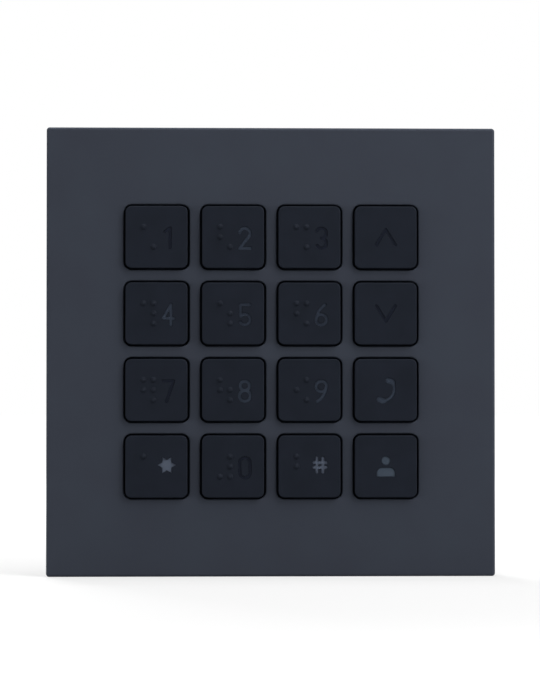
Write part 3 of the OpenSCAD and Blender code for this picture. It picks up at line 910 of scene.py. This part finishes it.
@dataclass
class FacePlate:
    """Painted metal plate with sixteen openings, a hollow back, a seal groove and bosses."""

    width: float = PLATE_WIDTH
    front: float = -6 * MM
    corner: float = 0.8 * MM
    edge: float = 0.7 * MM
    back_edge: float = 0.25 * MM
    skin: float = 2.5 * MM
    rim: float = 2.5 * MM
    pitch: float = 19.05 * MM
    opening: float = 16.4 * MM
    opening_corner: float = 2.0 * MM
    opening_edge: float = 0.3 * MM
    hollow_edge: float = 0.2 * MM
    groove: float = 1.2 * MM
    groove_corner: float = 1 * MM
    groove_depth: float = 0.8 * MM
    insert_at: float = INSERT_AT
    insert_boss: float = 3.5 * MM
    insert_seat: float = 2.15 * MM
    insert_depth: float = 3.9 * MM
    posts: tuple[Post, ...] = (
        Post(
            CASE_SCREW_AT, CASE_SCREW_AT, radius=3.25 * MM, top=3.4 * MM, bore=1.35 * MM, depth=5.4 * MM,
        ),
        Post(*BOARD_SCREW_AT, radius=2.5 * MM, top=1.8 * MM, bore=1.15 * MM, depth=4.4 * MM),
    )
    post_edge: float = 0.2 * MM
    pin: float = 1.2 * MM
    pin_end: float = 0.4 * MM

    def centres(self) -> list[Spot]:
        """Gives the openings' middles by rows from the top left."""
        places = [(k - (ROWS - 1) / 2) * self.pitch for k in range(ROWS)]
        return [(x, -z) for z in places for x in places]

    def build(self) -> None:
        """Makes the plate."""
        shell = Shell()
        face = shell.square((0, 0), self.width - 2 * self.edge, self.corner - self.edge, self.front)
        lip = self.opening_edge
        wide, corner = self.opening + 2 * lip, self.opening_corner + lip
        holes = [shell.square(c, wide, corner, self.front) for c in self.centres()]
        shell.fill(face, *holes, strip=STRIP)
        holes = [shell.into_wall(h, self.skin, -lip, parts=5) for h in holes]
        side = shell.round_over(face, self.edge, self.edge, parts=6)
        rim = shell.into_face(side, -self.front - self.edge, -self.back_edge)
        self._back(shell, rim, holes)
        Piece("face_plate", PAINT, Slot.PLATE, stands_for=("front_plate",)).make(shell)

    def _back(self, shell: Shell, rim: Edges, holes: list[Edges]) -> None:
        """Makes the rim's back with its groove, the hollow and the bosses.

        Args:
            shell: the plate so far.
            rim: the outer border of the rim's back face.
            holes: the openings' borders on the back of the skin.
        """
        middle = self.width - self.rim
        outer = shell.square((0, 0), middle + self.groove, self.corner, 0)
        inner = shell.square((0, 0), middle - self.groove, self.groove_corner, 0)
        shell.fill(rim, outer)
        lip = self.hollow_edge
        wide = self.width - 2 * self.rim + 2 * lip
        pocket = shell.notched(wide, self.insert_at, self.insert_boss - lip, 0)
        seats = [shell.circle(c, self.insert_seat, 0) for c in four(self.insert_at)]
        shell.fill(inner, pocket, *seats)
        shell.fill(*[shell.sweep(side, (0, -self.groove_depth)) for side in (outer, inner)])
        for seat in seats:
            shell.fill(shell.sweep(seat, (0, -self.insert_depth)))
        skin_back = self.front + self.skin
        floor = shell.into_wall(pocket, skin_back, -lip, parts=3)
        posts = self._posts(shell, skin_back)
        shell.fill(floor, *holes, *posts)

    def _posts(self, shell: Shell, y: float) -> list[Edges]:
        """Makes the posts behind the skin, which lies at y.

        Args:
            shell: the plate so far.
            y: the plane of the skin's back.
        Returns:
            The posts' borders in that plane.
        """
        feet = []
        for post in self.posts:
            for centre in four(post.x, post.z):
                foot = shell.circle(centre, post.radius, y)
                feet.append(foot)
                head = shell.into_face(foot, post.top - y, -self.post_edge)
                hole = shell.circle(centre, post.bore, post.top)
                shell.fill(head, hole)
                shell.fill(shell.sweep(hole, (0, -post.depth)))
        steps = [(k - 1) * self.pitch for k in range(ROWS - 1)]
        for centre in [(x, z) for x in steps for z in steps]:
            foot = shell.circle(centre, self.pin, y, parts=20)
            feet.append(foot)
            shell.fill(shell.into_face(foot, self.pin_end - y, -self.post_edge))
        return feet


@dataclass
class KeyCap:
    """One sprung key: a hollow cap with an engraved legend, Braille dots, a retaining flange and a stem."""

    name: str
    centre: Spot
    dots: tuple[int, ...] = ()
    width: float = 15.4 * MM
    corner: float = 1.5 * MM
    front: float = -7.2 * MM
    edge: float = 0.22 * MM
    flange_front: float = -3.2 * MM
    flange_back: float = -2.0 * MM
    flange_reach: float = 1.1 * MM
    soft: float = 0.2 * MM
    wall: float = 1.2 * MM
    face: float = 1.6 * MM
    stem: float = 2.0 * MM
    stem_end: float = -1.8 * MM
    depth: float = 0.5 * MM
    filling_gap: float = 0.05 * MM
    lip: float = 0.05 * MM
    dot_pitch: float = 2.5 * MM
    dot_radius: float = 0.7 * MM
    dot_height: float = 0.45 * MM
    dot_foot: float = 0.12 * MM
    dot_foot_rise: float = 0.03 * MM
    dot_flatten: float = 0.93
    dot_rings: int = 6
    cell_x: float = 2.0 * MM

    def build(self) -> None:
        """Makes the key."""
        legend = f"legend_{self.name}"
        shell = Shell(copy_of=legend)
        sign = shell.shift(shell.front_of(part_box(legend)[0].y), self.filling_gap + self.lip, self.front)
        cap = shell.square(self.centre, self.width - 2 * self.edge, self.corner - self.edge, self.front)
        feet = [self._dot(shell, dot) for dot in self.dots]
        shell.fill(cap, sign, *feet, strip=STRIP)
        shell.fill(shell.into_wall(sign, self.depth, -self.lip, parts=3))
        self._skirt(shell, cap)
        node, body = f"key_{self.name}", f"button_{self.name}"
        Piece(f"key_cap_{self.name}", CAP, Slot.KEY, body, stands_for=(node,)).make(shell)

    def _dot(self, shell: Shell, dot: int) -> Edges:
        """Raises one Braille dot from a soft foot.

        Args:
            shell: the key so far.
            dot: the dot's number, down the left column and then down the right.
        Returns:
            The foot's border on the cap's face.
        """
        column, row = divmod(dot - 1, 3)
        x = self.centre[0] - self.cell_x + (column - 0.5) * self.dot_pitch
        z = self.centre[1] + (1 - row) * self.dot_pitch
        foot = shell.circle((x, z), self.dot_radius + self.dot_foot, self.front, parts=24)
        ball = (self.dot_radius**2 + self.dot_height**2) / (2 * self.dot_height)
        lean = math.asin(self.dot_radius / ball)
        edges = shell.sweep(foot, (-self.dot_foot, -self.dot_foot_rise))
        turns = [lean * (1 - k / self.dot_rings) for k in range(self.dot_rings)]
        for turn, after in zip(turns, turns[1:]):
            inwards = ball * (math.sin(turn) - math.sin(after))
            rise = ball * (math.cos(after) - math.cos(turn)) * self.dot_flatten
            edges = shell.sweep(edges, (-inwards, -rise))
        verts = list({v for e in edges for v in e.verts})
        shell.fill(edges)
        # The dot's top takes the full lighter ridge tone: partly wear, partly a painted highlight
        for vert in verts:
            vert[shell.wear_and_highlight_mask] = 1.0
        return foot

    def _skirt(self, shell: Shell, cap: Edges) -> None:
        """Makes the cap's sides, the flange, the hollow and the stem.

        Args:
            shell: the key so far.
            cap: the border of the cap's face.
        """
        side = shell.round_over(cap, self.edge, self.edge, parts=6)
        height, thick = self.flange_front - self.front - self.edge, self.flange_back - self.flange_front
        ledge = shell.flange(side, height, self.flange_reach, thick, self.soft)
        mouth = shell.square(self.centre, self.width - 2 * self.wall, self.corner, self.flange_back)
        shell.fill(ledge, mouth)
        roof = self.front + self.face
        ceiling = shell.sweep(mouth, (0, roof - self.flange_back))
        stem = shell.circle(self.centre, self.stem, roof)
        shell.fill(ceiling, stem)
        shell.fill(shell.into_face(stem, self.stem_end - roof, -self.soft))


@dataclass
class Keypad:
    """The sixteen keys and the fillings of their legends."""

    cells: dict[str, tuple[int, ...]] = field(
        default_factory=lambda: {
            "1": (1, 6), "2": (1, 2, 6), "3": (1, 4, 6), "up": (),
            "4": (1, 4, 5, 6), "5": (1, 5, 6), "6": (1, 2, 4, 6), "down": (),
            "7": (1, 2, 4, 5, 6), "8": (1, 2, 5, 6), "9": (2, 4, 6), "call": (),
            "star": (1,), "0": (3, 4, 5, 6), "hash": (1, 2), "person": (),
        }
    )
    # Which legends take which tone of painted light and shade
    fillings: dict[FillingLightAndShade, tuple[str, ...]] = field(
        default_factory=lambda: {
            FillingLightAndShade.DARK: ("1", "3", "up", "down", "7", "0"),
            FillingLightAndShade.FAINTLY_LIT: ("5", "6"),
            FillingLightAndShade.DIMLY_LIT: ("2", "4", "8", "9", "call"),
            FillingLightAndShade.HALF_LIT: ("person",),
            FillingLightAndShade.CLEAR: ("star", "hash"),
        }
    )

    def places(self) -> dict[str, Spot]:
        """Finds the keys.

        Returns:
            The middle of each in X and Z.
        """
        found = {}
        for name in self.cells:
            low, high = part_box(f"key_{name}")
            middle = (low + high) / 2
            found[name] = (middle.x, middle.z)
        return found

    def build(self) -> None:
        """Makes every key and fills its legend with its tone of painted light or shade."""
        for name, centre in self.places().items():
            KeyCap(name, centre, self.cells[name]).build()
        for filling, names in self.fillings.items():
            for name in names:
                dress(f"legend_{name}", filling.finish())


@dataclass
class KeyMat:
    """Rubber mat with a hollow dome under each key, whose core closes the contact behind it."""

    width: float = 75.15 * MM
    corner: float = 2.0 * MM
    front: float = 0.4 * MM
    back: float = 1.8 * MM
    edge: float = 0.25 * MM
    foot: float = 5.5 * MM
    wall: float = 0.7 * MM
    crown: float = 2.8 * MM
    height: float = 2.2 * MM
    core: float = 2.0 * MM
    core_end: float = 0.45 * MM
    pill: float = 1.7 * MM
    pill_height: float = 0.35 * MM
    travel: float = 1.2 * MM
    lamp_at: float = 5.6 * MM
    lamp_room: tuple[float, float] = (2.2 * MM, 1.4 * MM)
    lamp_corner: float = 0.2 * MM
    dome_soft: float = 0.2 * MM
    core_soft: float = 0.12 * MM

    def build(self, places: dict[str, Spot]) -> None:
        """Makes the sheet, and a dome and a core for each key.

        Args:
            places: the middle of each key.
        """
        self._sheet(list(places.values()))
        for name, centre in places.items():
            self._dome(name, centre)
            self._core(name, centre)

    def _sheet(self, centres: Sequence[Spot]) -> None:
        """Makes the flat sheet with its holes under the domes and around the lamps.

        Args:
            centres: the middles of the keys.
        """
        shell = Shell()
        outer = shell.square((0, 0), self.width - 2 * self.edge, self.corner - self.edge, self.front)
        holes = [shell.circle(c, self.foot - self.wall, self.front, 40) for c in centres]
        wide, high = self.lamp_room
        for x, z in centres:
            spot = x - self.lamp_at, z + self.lamp_at
            holes.append(shell.square(spot, wide, self.lamp_corner, self.front, high))
        shell.fill(outer, *holes)
        depth = self.back - self.front
        side = shell.round_over(outer, self.edge, self.edge, parts=4)
        side = shell.into_face(side, depth - self.edge, -self.edge, parts=4)
        shell.fill(side, *[shell.sweep(h, (0, depth)) for h in holes])
        Piece("mat_sheet", MAT, Slot.MAT, stands_for=("key_mat",)).make(shell)

    def _dome(self, name: str, centre: Spot) -> None:
        """Makes one dome in its resting shape.

        Args:
            name: the key's name.
            centre: the key's middle.
        """
        soft, top = self.dome_soft, self.front - self.height
        roof, inner = top + self.wall, self.foot - self.wall
        run = self.foot - self.crown
        crown = [(0, top), (self.crown - 2 * soft, top), (self.crown - soft / 2, top + soft / 4)]
        slope = [(self.crown + run * share, top + self.height * share) for share in (0.1, 0.35, 0.65, 0.9)]
        foot = [(self.foot, self.front), (inner, self.front), (inner - soft, self.front - soft)]
        shell = Shell()
        shell.turn(centre, [*crown, *slope, *foot, (self.crown, roof), (0, roof)])
        dome = Piece(f"rubber_dome_{name}", MAT, Slot.MAT, crease=50).make(shell)
        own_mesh(dome)

    def _core(self, name: str, centre: Spot) -> None:
        """Makes the core under a dome's crown, with the pill that bridges the contact.

        Args:
            name: the key's name.
            centre: the key's middle.
        """
        soft, end = self.core_soft, self.core_end
        top, neck = self.front - self.height + soft, end - self.pill_height
        core = [(0, top), (self.core, top), (self.core, neck - soft), (self.core - soft, neck)]
        pill = [(self.pill, neck), (self.pill, end - soft), (self.pill - soft, end), (0, end)]
        shell = Shell()
        shell.turn(centre, core + pill, parts=32)
        Piece(f"dome_core_{name}", MAT, Slot.MAT, f"button_{name}").make(shell)


@dataclass
class RearHousing:
    """Moulded box behind the board, with a flange, screw columns and windows for the wiring."""

    width: float = 92.95 * MM
    corner: float = 3.0 * MM
    edge: float = 1.0 * MM
    back: float = 15 * MM
    floor: float = 13 * MM
    inside: float = 88.95 * MM
    inside_corner: float = 1.0 * MM
    ledge: float = 0.1 * MM
    flange_reach: float = 1.5 * MM
    flange_front: float = -2.5 * MM
    flange_back: float = -1.0 * MM
    soft: float = 0.3 * MM
    column_at: float = CASE_SCREW_AT
    column: float = 3.7 * MM
    column_top: float = 3.4 * MM
    recess: float = 3.08 * MM
    recess_depth: float = 2.2 * MM
    hole: float = 1.65 * MM
    window: tuple[float, float] = (32.48 * MM, 9.0 * MM)
    window_z: float = -38.075 * MM
    wire_window: tuple[float, float] = (4.9 * MM, 9.5 * MM)
    window_corner: float = 0.8 * MM
    window_lip: float = 0.2 * MM

    def build(self) -> None:
        """Makes the housing."""
        shell = Shell()
        lip = self.soft
        face = shell.square((0, 0), self.width - 2 * self.edge, self.corner - self.edge, self.back)
        wide, high = (size + 2 * lip for size in self.window)
        gate = shell.square((0, self.window_z), wide, self.window_corner + lip, self.back, high)
        seats = [shell.circle(c, self.recess + lip, self.back) for c in four(self.column_at)]
        shell.fill(face, gate, *seats, strip=STRIP)
        mouth = self._outside(shell, face)
        bores = [self._bore(shell, seat, c) for seat, c in zip(seats, four(self.column_at))]
        gate = shell.into_wall(gate, self.floor - self.back, -lip)
        self._inside(shell, mouth, bores, gate)
        half = self.window[0] / 2
        low = Vector((-half, self.wire_window[0], -self.width / 2 - lip))
        top = Vector((half, self.wire_window[1], -self.inside / 2 + lip))
        shell.window(low, top, self.window_corner, self.window_lip)
        Piece("rear_case", CASE, Slot.HOUSING, stands_for=("rear_housing",)).make(shell)

    def _outside(self, shell: Shell, face: Edges) -> Edges:
        """Makes the sides and the flange.

        Args:
            shell: the housing so far.
            face: the border of the back face.
        Returns:
            The border of the mouth in the flange's front.
        """
        side = shell.round_over(face, self.edge, -self.edge, parts=6)
        height, thick = self.flange_back - self.back + self.edge, self.flange_front - self.flange_back
        side = shell.flange(side, height, self.flange_reach, thick, self.soft)
        width = self.inside + 2 * self.ledge
        mouth = shell.square((0, 0), width, self.inside_corner + self.ledge, self.flange_front)
        shell.fill(side, mouth)
        return mouth

    def _bore(self, shell: Shell, seat: Edges, centre: Spot) -> Edges:
        """Sinks the seat of a screw's head and the hole below it.

        Args:
            shell: the housing so far.
            seat: the seat's border on the back face.
            centre: the screw's place.
        Returns:
            The hole's border on top of its column.
        """
        wall = shell.into_wall(seat, -self.recess_depth, -self.soft)
        depth = self.back - self.recess_depth
        hole = shell.circle(centre, self.hole, depth)
        shell.fill(wall, hole)
        return shell.sweep(hole, (0, self.column_top - depth))

    def _inside(self, shell: Shell, mouth: Edges, bores: list[Edges], gate: Edges) -> None:
        """Makes the inner walls, which go round the columns, and the floor.

        Args:
            shell: the housing so far.
            mouth: the border of the mouth.
            bores: the borders of the screws' holes on top of the columns.
            gate: the inner border of the window in the back.
        """
        walls = shell.sweep(mouth, (0, self.column_top - self.flange_front))
        round_columns = shell.notched(self.inside, self.column_at, self.column, self.column_top)
        shell.fill(walls, round_columns, *bores)
        shell.fill(shell.sweep(round_columns, (0, self.floor - self.column_top)), gate)


@dataclass
class WiringBlock:
    """Row of screw terminals whose screws look out of the back and whose ports look down."""

    poles: int = 6
    pitch: float = 5.08 * MM
    width: float = 31.48 * MM
    low: float = -42.075 * MM
    rise: float = 8.0 * MM
    front: float = 3.4 * MM
    back: float = 13.8 * MM
    corner: float = 0.5 * MM
    soft: float = 0.3 * MM
    well: float = 2.1 * MM
    well_z: float = -38.275 * MM
    well_floor: float = 9.5 * MM
    neck: float = 1.3 * MM
    port: float = 3.6 * MM
    port_y: float = 7.2 * MM
    port_depth: float = 6.5 * MM
    port_lip: float = 0.15 * MM

    def build(self) -> None:
        """Makes the block and plates its metal."""
        shell = Shell()
        middle = (0.0, self.low + self.rise / 2)
        wide, high = self.width - 2 * self.soft, self.rise - 2 * self.soft
        face = shell.square(middle, wide, self.corner - self.soft, self.back, high)
        spots = [((k - (self.poles - 1) / 2) * self.pitch, self.well_z) for k in range(self.poles)]
        wells = [shell.circle(c, self.well + self.soft, self.back) for c in spots]
        shell.fill(face, *wells, strip=STRIP)
        shell.fill(shell.into_wall(face, self.front - self.back, self.soft))
        for spot, well in zip(spots, wells):
            self._pole(shell, spot, well)
        Piece("wiring_block", BLOCK, Slot.BLOCK, stands_for=("terminal_block",)).make(shell)
        dress("terminal_clamps", CLAMP)
        dress("terminal_screws", STEEL)

    def _pole(self, shell: Shell, spot: Spot, well: Edges) -> None:
        """Sinks one screw well and the wire port that it opens into.

        Args:
            shell: the block so far.
            spot: the screw's place.
            well: the well's border on the back face.
        """
        wall = shell.into_wall(well, self.well_floor - self.back, -self.soft)
        neck = shell.circle(spot, self.neck, self.well_floor)
        shell.fill(wall, neck)
        half = self.port / 2
        neck = shell.sweep(neck, (0, self.port_y + half - self.well_floor))
        low = Vector((spot[0] - half, self.port_y - half, self.low - self.soft))
        high = Vector((spot[0] + half, self.port_y + half, self.low + self.soft))
        roof = shell.pocket(low, high, self.port_depth, self.port_lip)
        rim = list(roof.edges)
        bmesh.ops.delete(shell.bm, geom=[roof], context="FACES_ONLY")
        shell.fill(rim, neck)


@dataclass
class Screws:
    """Socket-head screws of one kind, whose heads look back."""

    name: str
    node: str
    spots: Sequence[Spot]
    seat: float
    head: float
    height: float
    shank: float
    end: float
    soft: float = 0.25 * MM
    under: float = 0.1 * MM
    pitch: float = 0.45 * MM
    furrow: float = 0.16 * MM

    def build(self) -> None:
        """Makes the screws."""
        shell = Shell()
        for spot in self.spots:
            self._screw(shell, spot)
        Piece(self.name, STEEL, Slot.SCREW, stands_for=(self.node,)).make(shell)

    def _screw(self, shell: Shell, spot: Spot) -> None:
        """Makes one screw with a six-sided socket, a threaded shank and a blunt tip.

        Args:
            shell: the screws so far.
            spot: the screw's place.
        """
        soft, top = self.soft, self.seat + self.height
        face = shell.circle(spot, self.head - soft, top)
        socket = shell.circle(spot, self.head / 2 + soft / 2, top, parts=6)
        shell.fill(face, socket)
        socket = shell.sweep(socket, (-soft / 2, -soft / 2), (0, soft / 2 - self.height / 2))
        shell.fill(shell.sweep(socket, (-soft, -soft)))
        side = shell.round_over(face, soft, -soft, parts=4)
        side = shell.into_face(side, soft - self.height, -self.under, parts=2)
        shank = shell.circle(spot, self.shank, self.seat)
        shell.fill(side, shank)
        shank = shell.thread(shank, self.end - self.seat + 2 * soft, self.pitch, self.furrow)
        shell.fill(shell.sweep(shank, (-soft, -2 * soft)))


@dataclass
class Inserts:
    """Brass inserts with a thread inside, pressed into the plate's corners."""

    at: float = INSERT_AT
    radius: float = 2.1 * MM
    bore: float = 1.25 * MM
    length: float = 3.5 * MM
    chamfer: float = 0.2 * MM
    pitch: float = 0.5 * MM
    furrow: float = 0.2 * MM

    def build(self) -> None:
        """Makes the four inserts."""
        cut, front = self.chamfer, -self.length
        root = self.bore + self.furrow
        outside = [(self.radius, front + cut), (self.radius, -cut), (self.radius - cut, 0)]
        profile = [*outside, (root + cut, 0), (root, -cut)]
        turns = int((self.length - 2 * cut) / self.pitch)
        for k in range(turns):
            y = -cut - k * self.pitch
            profile += [(self.bore, y - self.pitch / 2), (root, y - self.pitch)]
        profile += [(root + cut, front), (self.radius - cut, front)]
        shell = Shell()
        for spot in four(self.at):
            shell.turn(spot, profile)
        Piece("threaded_inserts", BRASS, Slot.INSERT, stands_for=("mounting_inserts",)).make(shell)


@dataclass
class Seal:
    """Rubber frame with round edges, pressed between two faces."""

    name: str
    node: str
    outer: float
    outer_corner: float
    inner: float
    inner_corner: float
    front: float
    back: float
    soft: float

    def build(self) -> None:
        """Makes the seal."""
        shell = Shell()
        soft, depth = self.soft, self.back - self.front
        outer = shell.square((0, 0), self.outer - 2 * soft, self.outer_corner - soft, self.front)
        inner = shell.square((0, 0), self.inner + 2 * soft, self.inner_corner + soft, self.front)
        shell.fill(outer, inner)
        ends = []
        for border, way in ((outer, 1), (inner, -1)):
            wall = shell.round_over(border, way * soft, soft, parts=4)
            ends.append(shell.into_face(wall, depth - soft, -way * soft, parts=4))
        shell.fill(*ends)
        Piece(self.name, SEAL, Slot.SEAL, stands_for=(self.node,)).make(shell)


@dataclass
class Electronics:
    """The circuit board and what is soldered to it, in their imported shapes."""

    finishes: dict[str, Finish] = field(
        default_factory=lambda: {
            "circuit_board": BOARD, "contact_pads": GOLD, "backlight_leds": LAMP, "controller_chip": CHIP,
            "bus_driver": CHIP, "supply_capacitor": CAN,
        }
    )

    def build(self) -> None:
        """Dresses the board and its parts."""
        for node, finish in self.finishes.items():
            dress(node, finish)


def dress(node: str, finish: Finish) -> None:
    """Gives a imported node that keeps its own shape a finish.

    Args:
        node: the node's name.
        finish: what it is made of.
    """
    mesh = bpy.data.objects[node].data
    mesh.materials.clear()
    mesh.materials.append(finish.material())
    LOG.info("%s: packed shape in %s", node, finish.name)


# Stage


def look(
    thing: bpy.types.Object, azimuth: float, elevation: float, distance: float, at: Triple = (0, 0, 0),
) -> None:
    """Stands a lamp or a camera away from a point and turns it to that point.

    Args:
        thing: the lamp or camera.
        azimuth: the way that it stands in, in degrees from the front.
        elevation: degrees above the point.
        distance: how far away it stands.
        at: the point.
    """
    a, e = math.radians(azimuth), math.radians(elevation)
    away = Vector((math.sin(a) * math.cos(e), -math.cos(a) * math.cos(e), math.sin(e)))
    thing.location = Vector(at) + away * distance
    thing.rotation_euler = (-away).to_track_quat("-Z", "Y").to_euler()
    bpy.context.scene.collection.objects.link(thing)


@dataclass(frozen=True)
class Lamp:
    """A soft box that looks at the middle of the object from an azimuth and an elevation in degrees."""

    name: str
    azimuth: float
    elevation: float
    watts: float
    size: tuple[float, float] = (0.3, 0.3)
    distance: float = 0.6

    def build(self) -> None:
        """Hangs the lamp."""
        data = bpy.data.lights.new(self.name, "AREA")
        data.shape = "RECTANGLE"
        data.size, data.size_y = self.size
        data.energy = self.watts
        look(bpy.data.objects.new(self.name, data), self.azimuth, self.elevation, self.distance)


@dataclass
class Stage:
    """White floor and surroundings, soft lamps and the camera."""

    floor: float = -56 * MM
    reach: float = 4.0
    paper: float = 0.35
    shine: float = 0.55
    fade: tuple[float, float] = (0.15, 0.6)
    distance: float = 0.6
    azimuth: float = -1.7
    elevation: float = -1.0
    aim: Triple = (-0.3 * MM, -6 * MM, 0.45 * MM)
    picture: tuple[int, int] = (540, 700)
    plate_pixels: float = 449.0
    ambient: float = 0.06
    lamps: tuple[Lamp, ...] = (
        Lamp("lamp_left", azimuth=-65, elevation=0, watts=1.1, size=(0.3, 0.1)),
        Lamp("lamp_right", azimuth=65, elevation=0, watts=0.65, size=(0.3, 0.1)),
        Lamp("lamp_above_right", azimuth=50, elevation=42, watts=2.55, size=(0.3, 0.45)),
        Lamp("lamp_front", azimuth=0, elevation=30, watts=0.22),
        Lamp("lamp_above", azimuth=0, elevation=90, watts=2.5),
        Lamp("lamp_behind", azimuth=200, elevation=35, watts=3.0),
    )

    def build(self) -> None:
        """Sets the stage."""
        bpy.context.scene.view_settings.view_transform = "Standard"
        self._floor()
        self._surroundings()
        for lamp in self.lamps:
            lamp.build()
        self._camera()

    def _floor(self) -> None:
        """Lays a floor that looks white and still takes a shadow."""
        bm = bmesh.new()
        place = Matrix.Translation((0, 0, self.floor))
        bmesh.ops.create_grid(bm, x_segments=1, y_segments=1, size=self.reach, matrix=place)
        mesh = bpy.data.meshes.new("floor")
        bm.to_mesh(mesh)
        bm.free()
        w = Wiring("floor_paper")
        rays = w.add("ShaderNodeLightPath").outputs
        seen = w.math("MAXIMUM", rays["Is Camera Ray"], rays["Is Glossy Ray"])
        w.feed(w.shader.inputs["Base Color"], (self.paper, self.paper, self.paper, 1.0))
        w.feed(w.shader.inputs["Roughness"], 0.9)
        w.feed(w.shader.inputs["Specular IOR Level"], 0.0)
        away = w.add("ShaderNodeVectorMath", {0: w.place}, operation="LENGTH").outputs["Value"]
        shine = w.spread(away, self.shine, 1.0, *self.fade)
        w.feed(w.shader.inputs["Emission Color"], (1.0, 1.0, 1.0, 1.0))
        w.feed(w.shader.inputs["Emission Strength"], w.math("MULTIPLY", seen, shine))
        mesh.materials.append(w.material)
        floor = bpy.data.objects.new("floor", mesh)
        bpy.context.scene.collection.objects.link(floor)

    def _surroundings(self) -> None:
        """Makes the surroundings white to the eye and a plain soft light to the object."""
        world = bpy.data.worlds.new("white_room")
        world.use_nodes = True
        bpy.context.scene.world = world
        tree = world.node_tree
        shade = tree.nodes["Background"]
        shade.inputs["Color"].default_value = (1.0, 1.0, 1.0, 1.0)
        rays = tree.nodes.new("ShaderNodeLightPath").outputs
        strength = tree.nodes.new("ShaderNodeValue").outputs[0]
        strength.default_value = self.ambient
        for ray in ("Is Camera Ray", "Is Glossy Ray", "Is Transmission Ray"):
            more = tree.nodes.new("ShaderNodeMath")
            more.operation = "MAXIMUM"
            tree.links.new(rays[ray], more.inputs[0])
            tree.links.new(strength, more.inputs[1])
            strength = more.outputs[0]
        tree.links.new(strength, shade.inputs["Strength"])

    def _camera(self) -> None:
        """Places the camera where the plate fills the picture as in the photograph."""
        data = bpy.data.cameras.new("camera")
        data.sensor_width = 36.0
        share = self.plate_pixels / max(self.picture)
        data.lens = share * data.sensor_width * self.distance / PLATE_WIDTH
        data.clip_start, data.clip_end = 0.01, 20.0
        camera = bpy.data.objects.new("camera", data)
        look(camera, self.azimuth, self.elevation, self.distance, self.aim)
        bpy.context.scene.camera = camera


def main() -> None:
    """Builds the stage and every sub-assembly."""
    logging.basicConfig(level=logging.INFO, format="%(message)s")
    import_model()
    Stage().build()
    FacePlate().build()
    keypad = Keypad()
    keypad.build()
    KeyMat().build(keypad.places())
    Electronics().build()
    RearHousing().build()
    WiringBlock().build()
    Screws(
        "case_screws", "housing_screws", four(CASE_SCREW_AT),
        seat=12.8 * MM, head=2.73 * MM, height=1.95 * MM, shank=1.3 * MM, end=-1.6 * MM,
    ).build()
    Screws(
        "circuit_screws", "board_screws", four(*BOARD_SCREW_AT),
        seat=3.4 * MM, head=2.2 * MM, height=1.65 * MM, shank=1.1 * MM, end=-2.2 * MM,
    ).build()
    Inserts().build()
    Seal(
        "case_gasket", "housing_seal", outer=94.95 * MM, outer_corner=4.0 * MM,
        inner=89.95 * MM, inner_corner=1.5 * MM, front=-3.5 * MM, back=-2.5 * MM, soft=0.3 * MM,
    ).build()
    Seal(
        "rim_cord", "rim_seal", outer=110.6 * MM, outer_corner=0.75 * MM,
        inner=108.4 * MM, inner_corner=1.05 * MM, front=-0.8 * MM, back=0.0, soft=0.25 * MM,
    ).build()


if __name__ == "__main__":
    main()
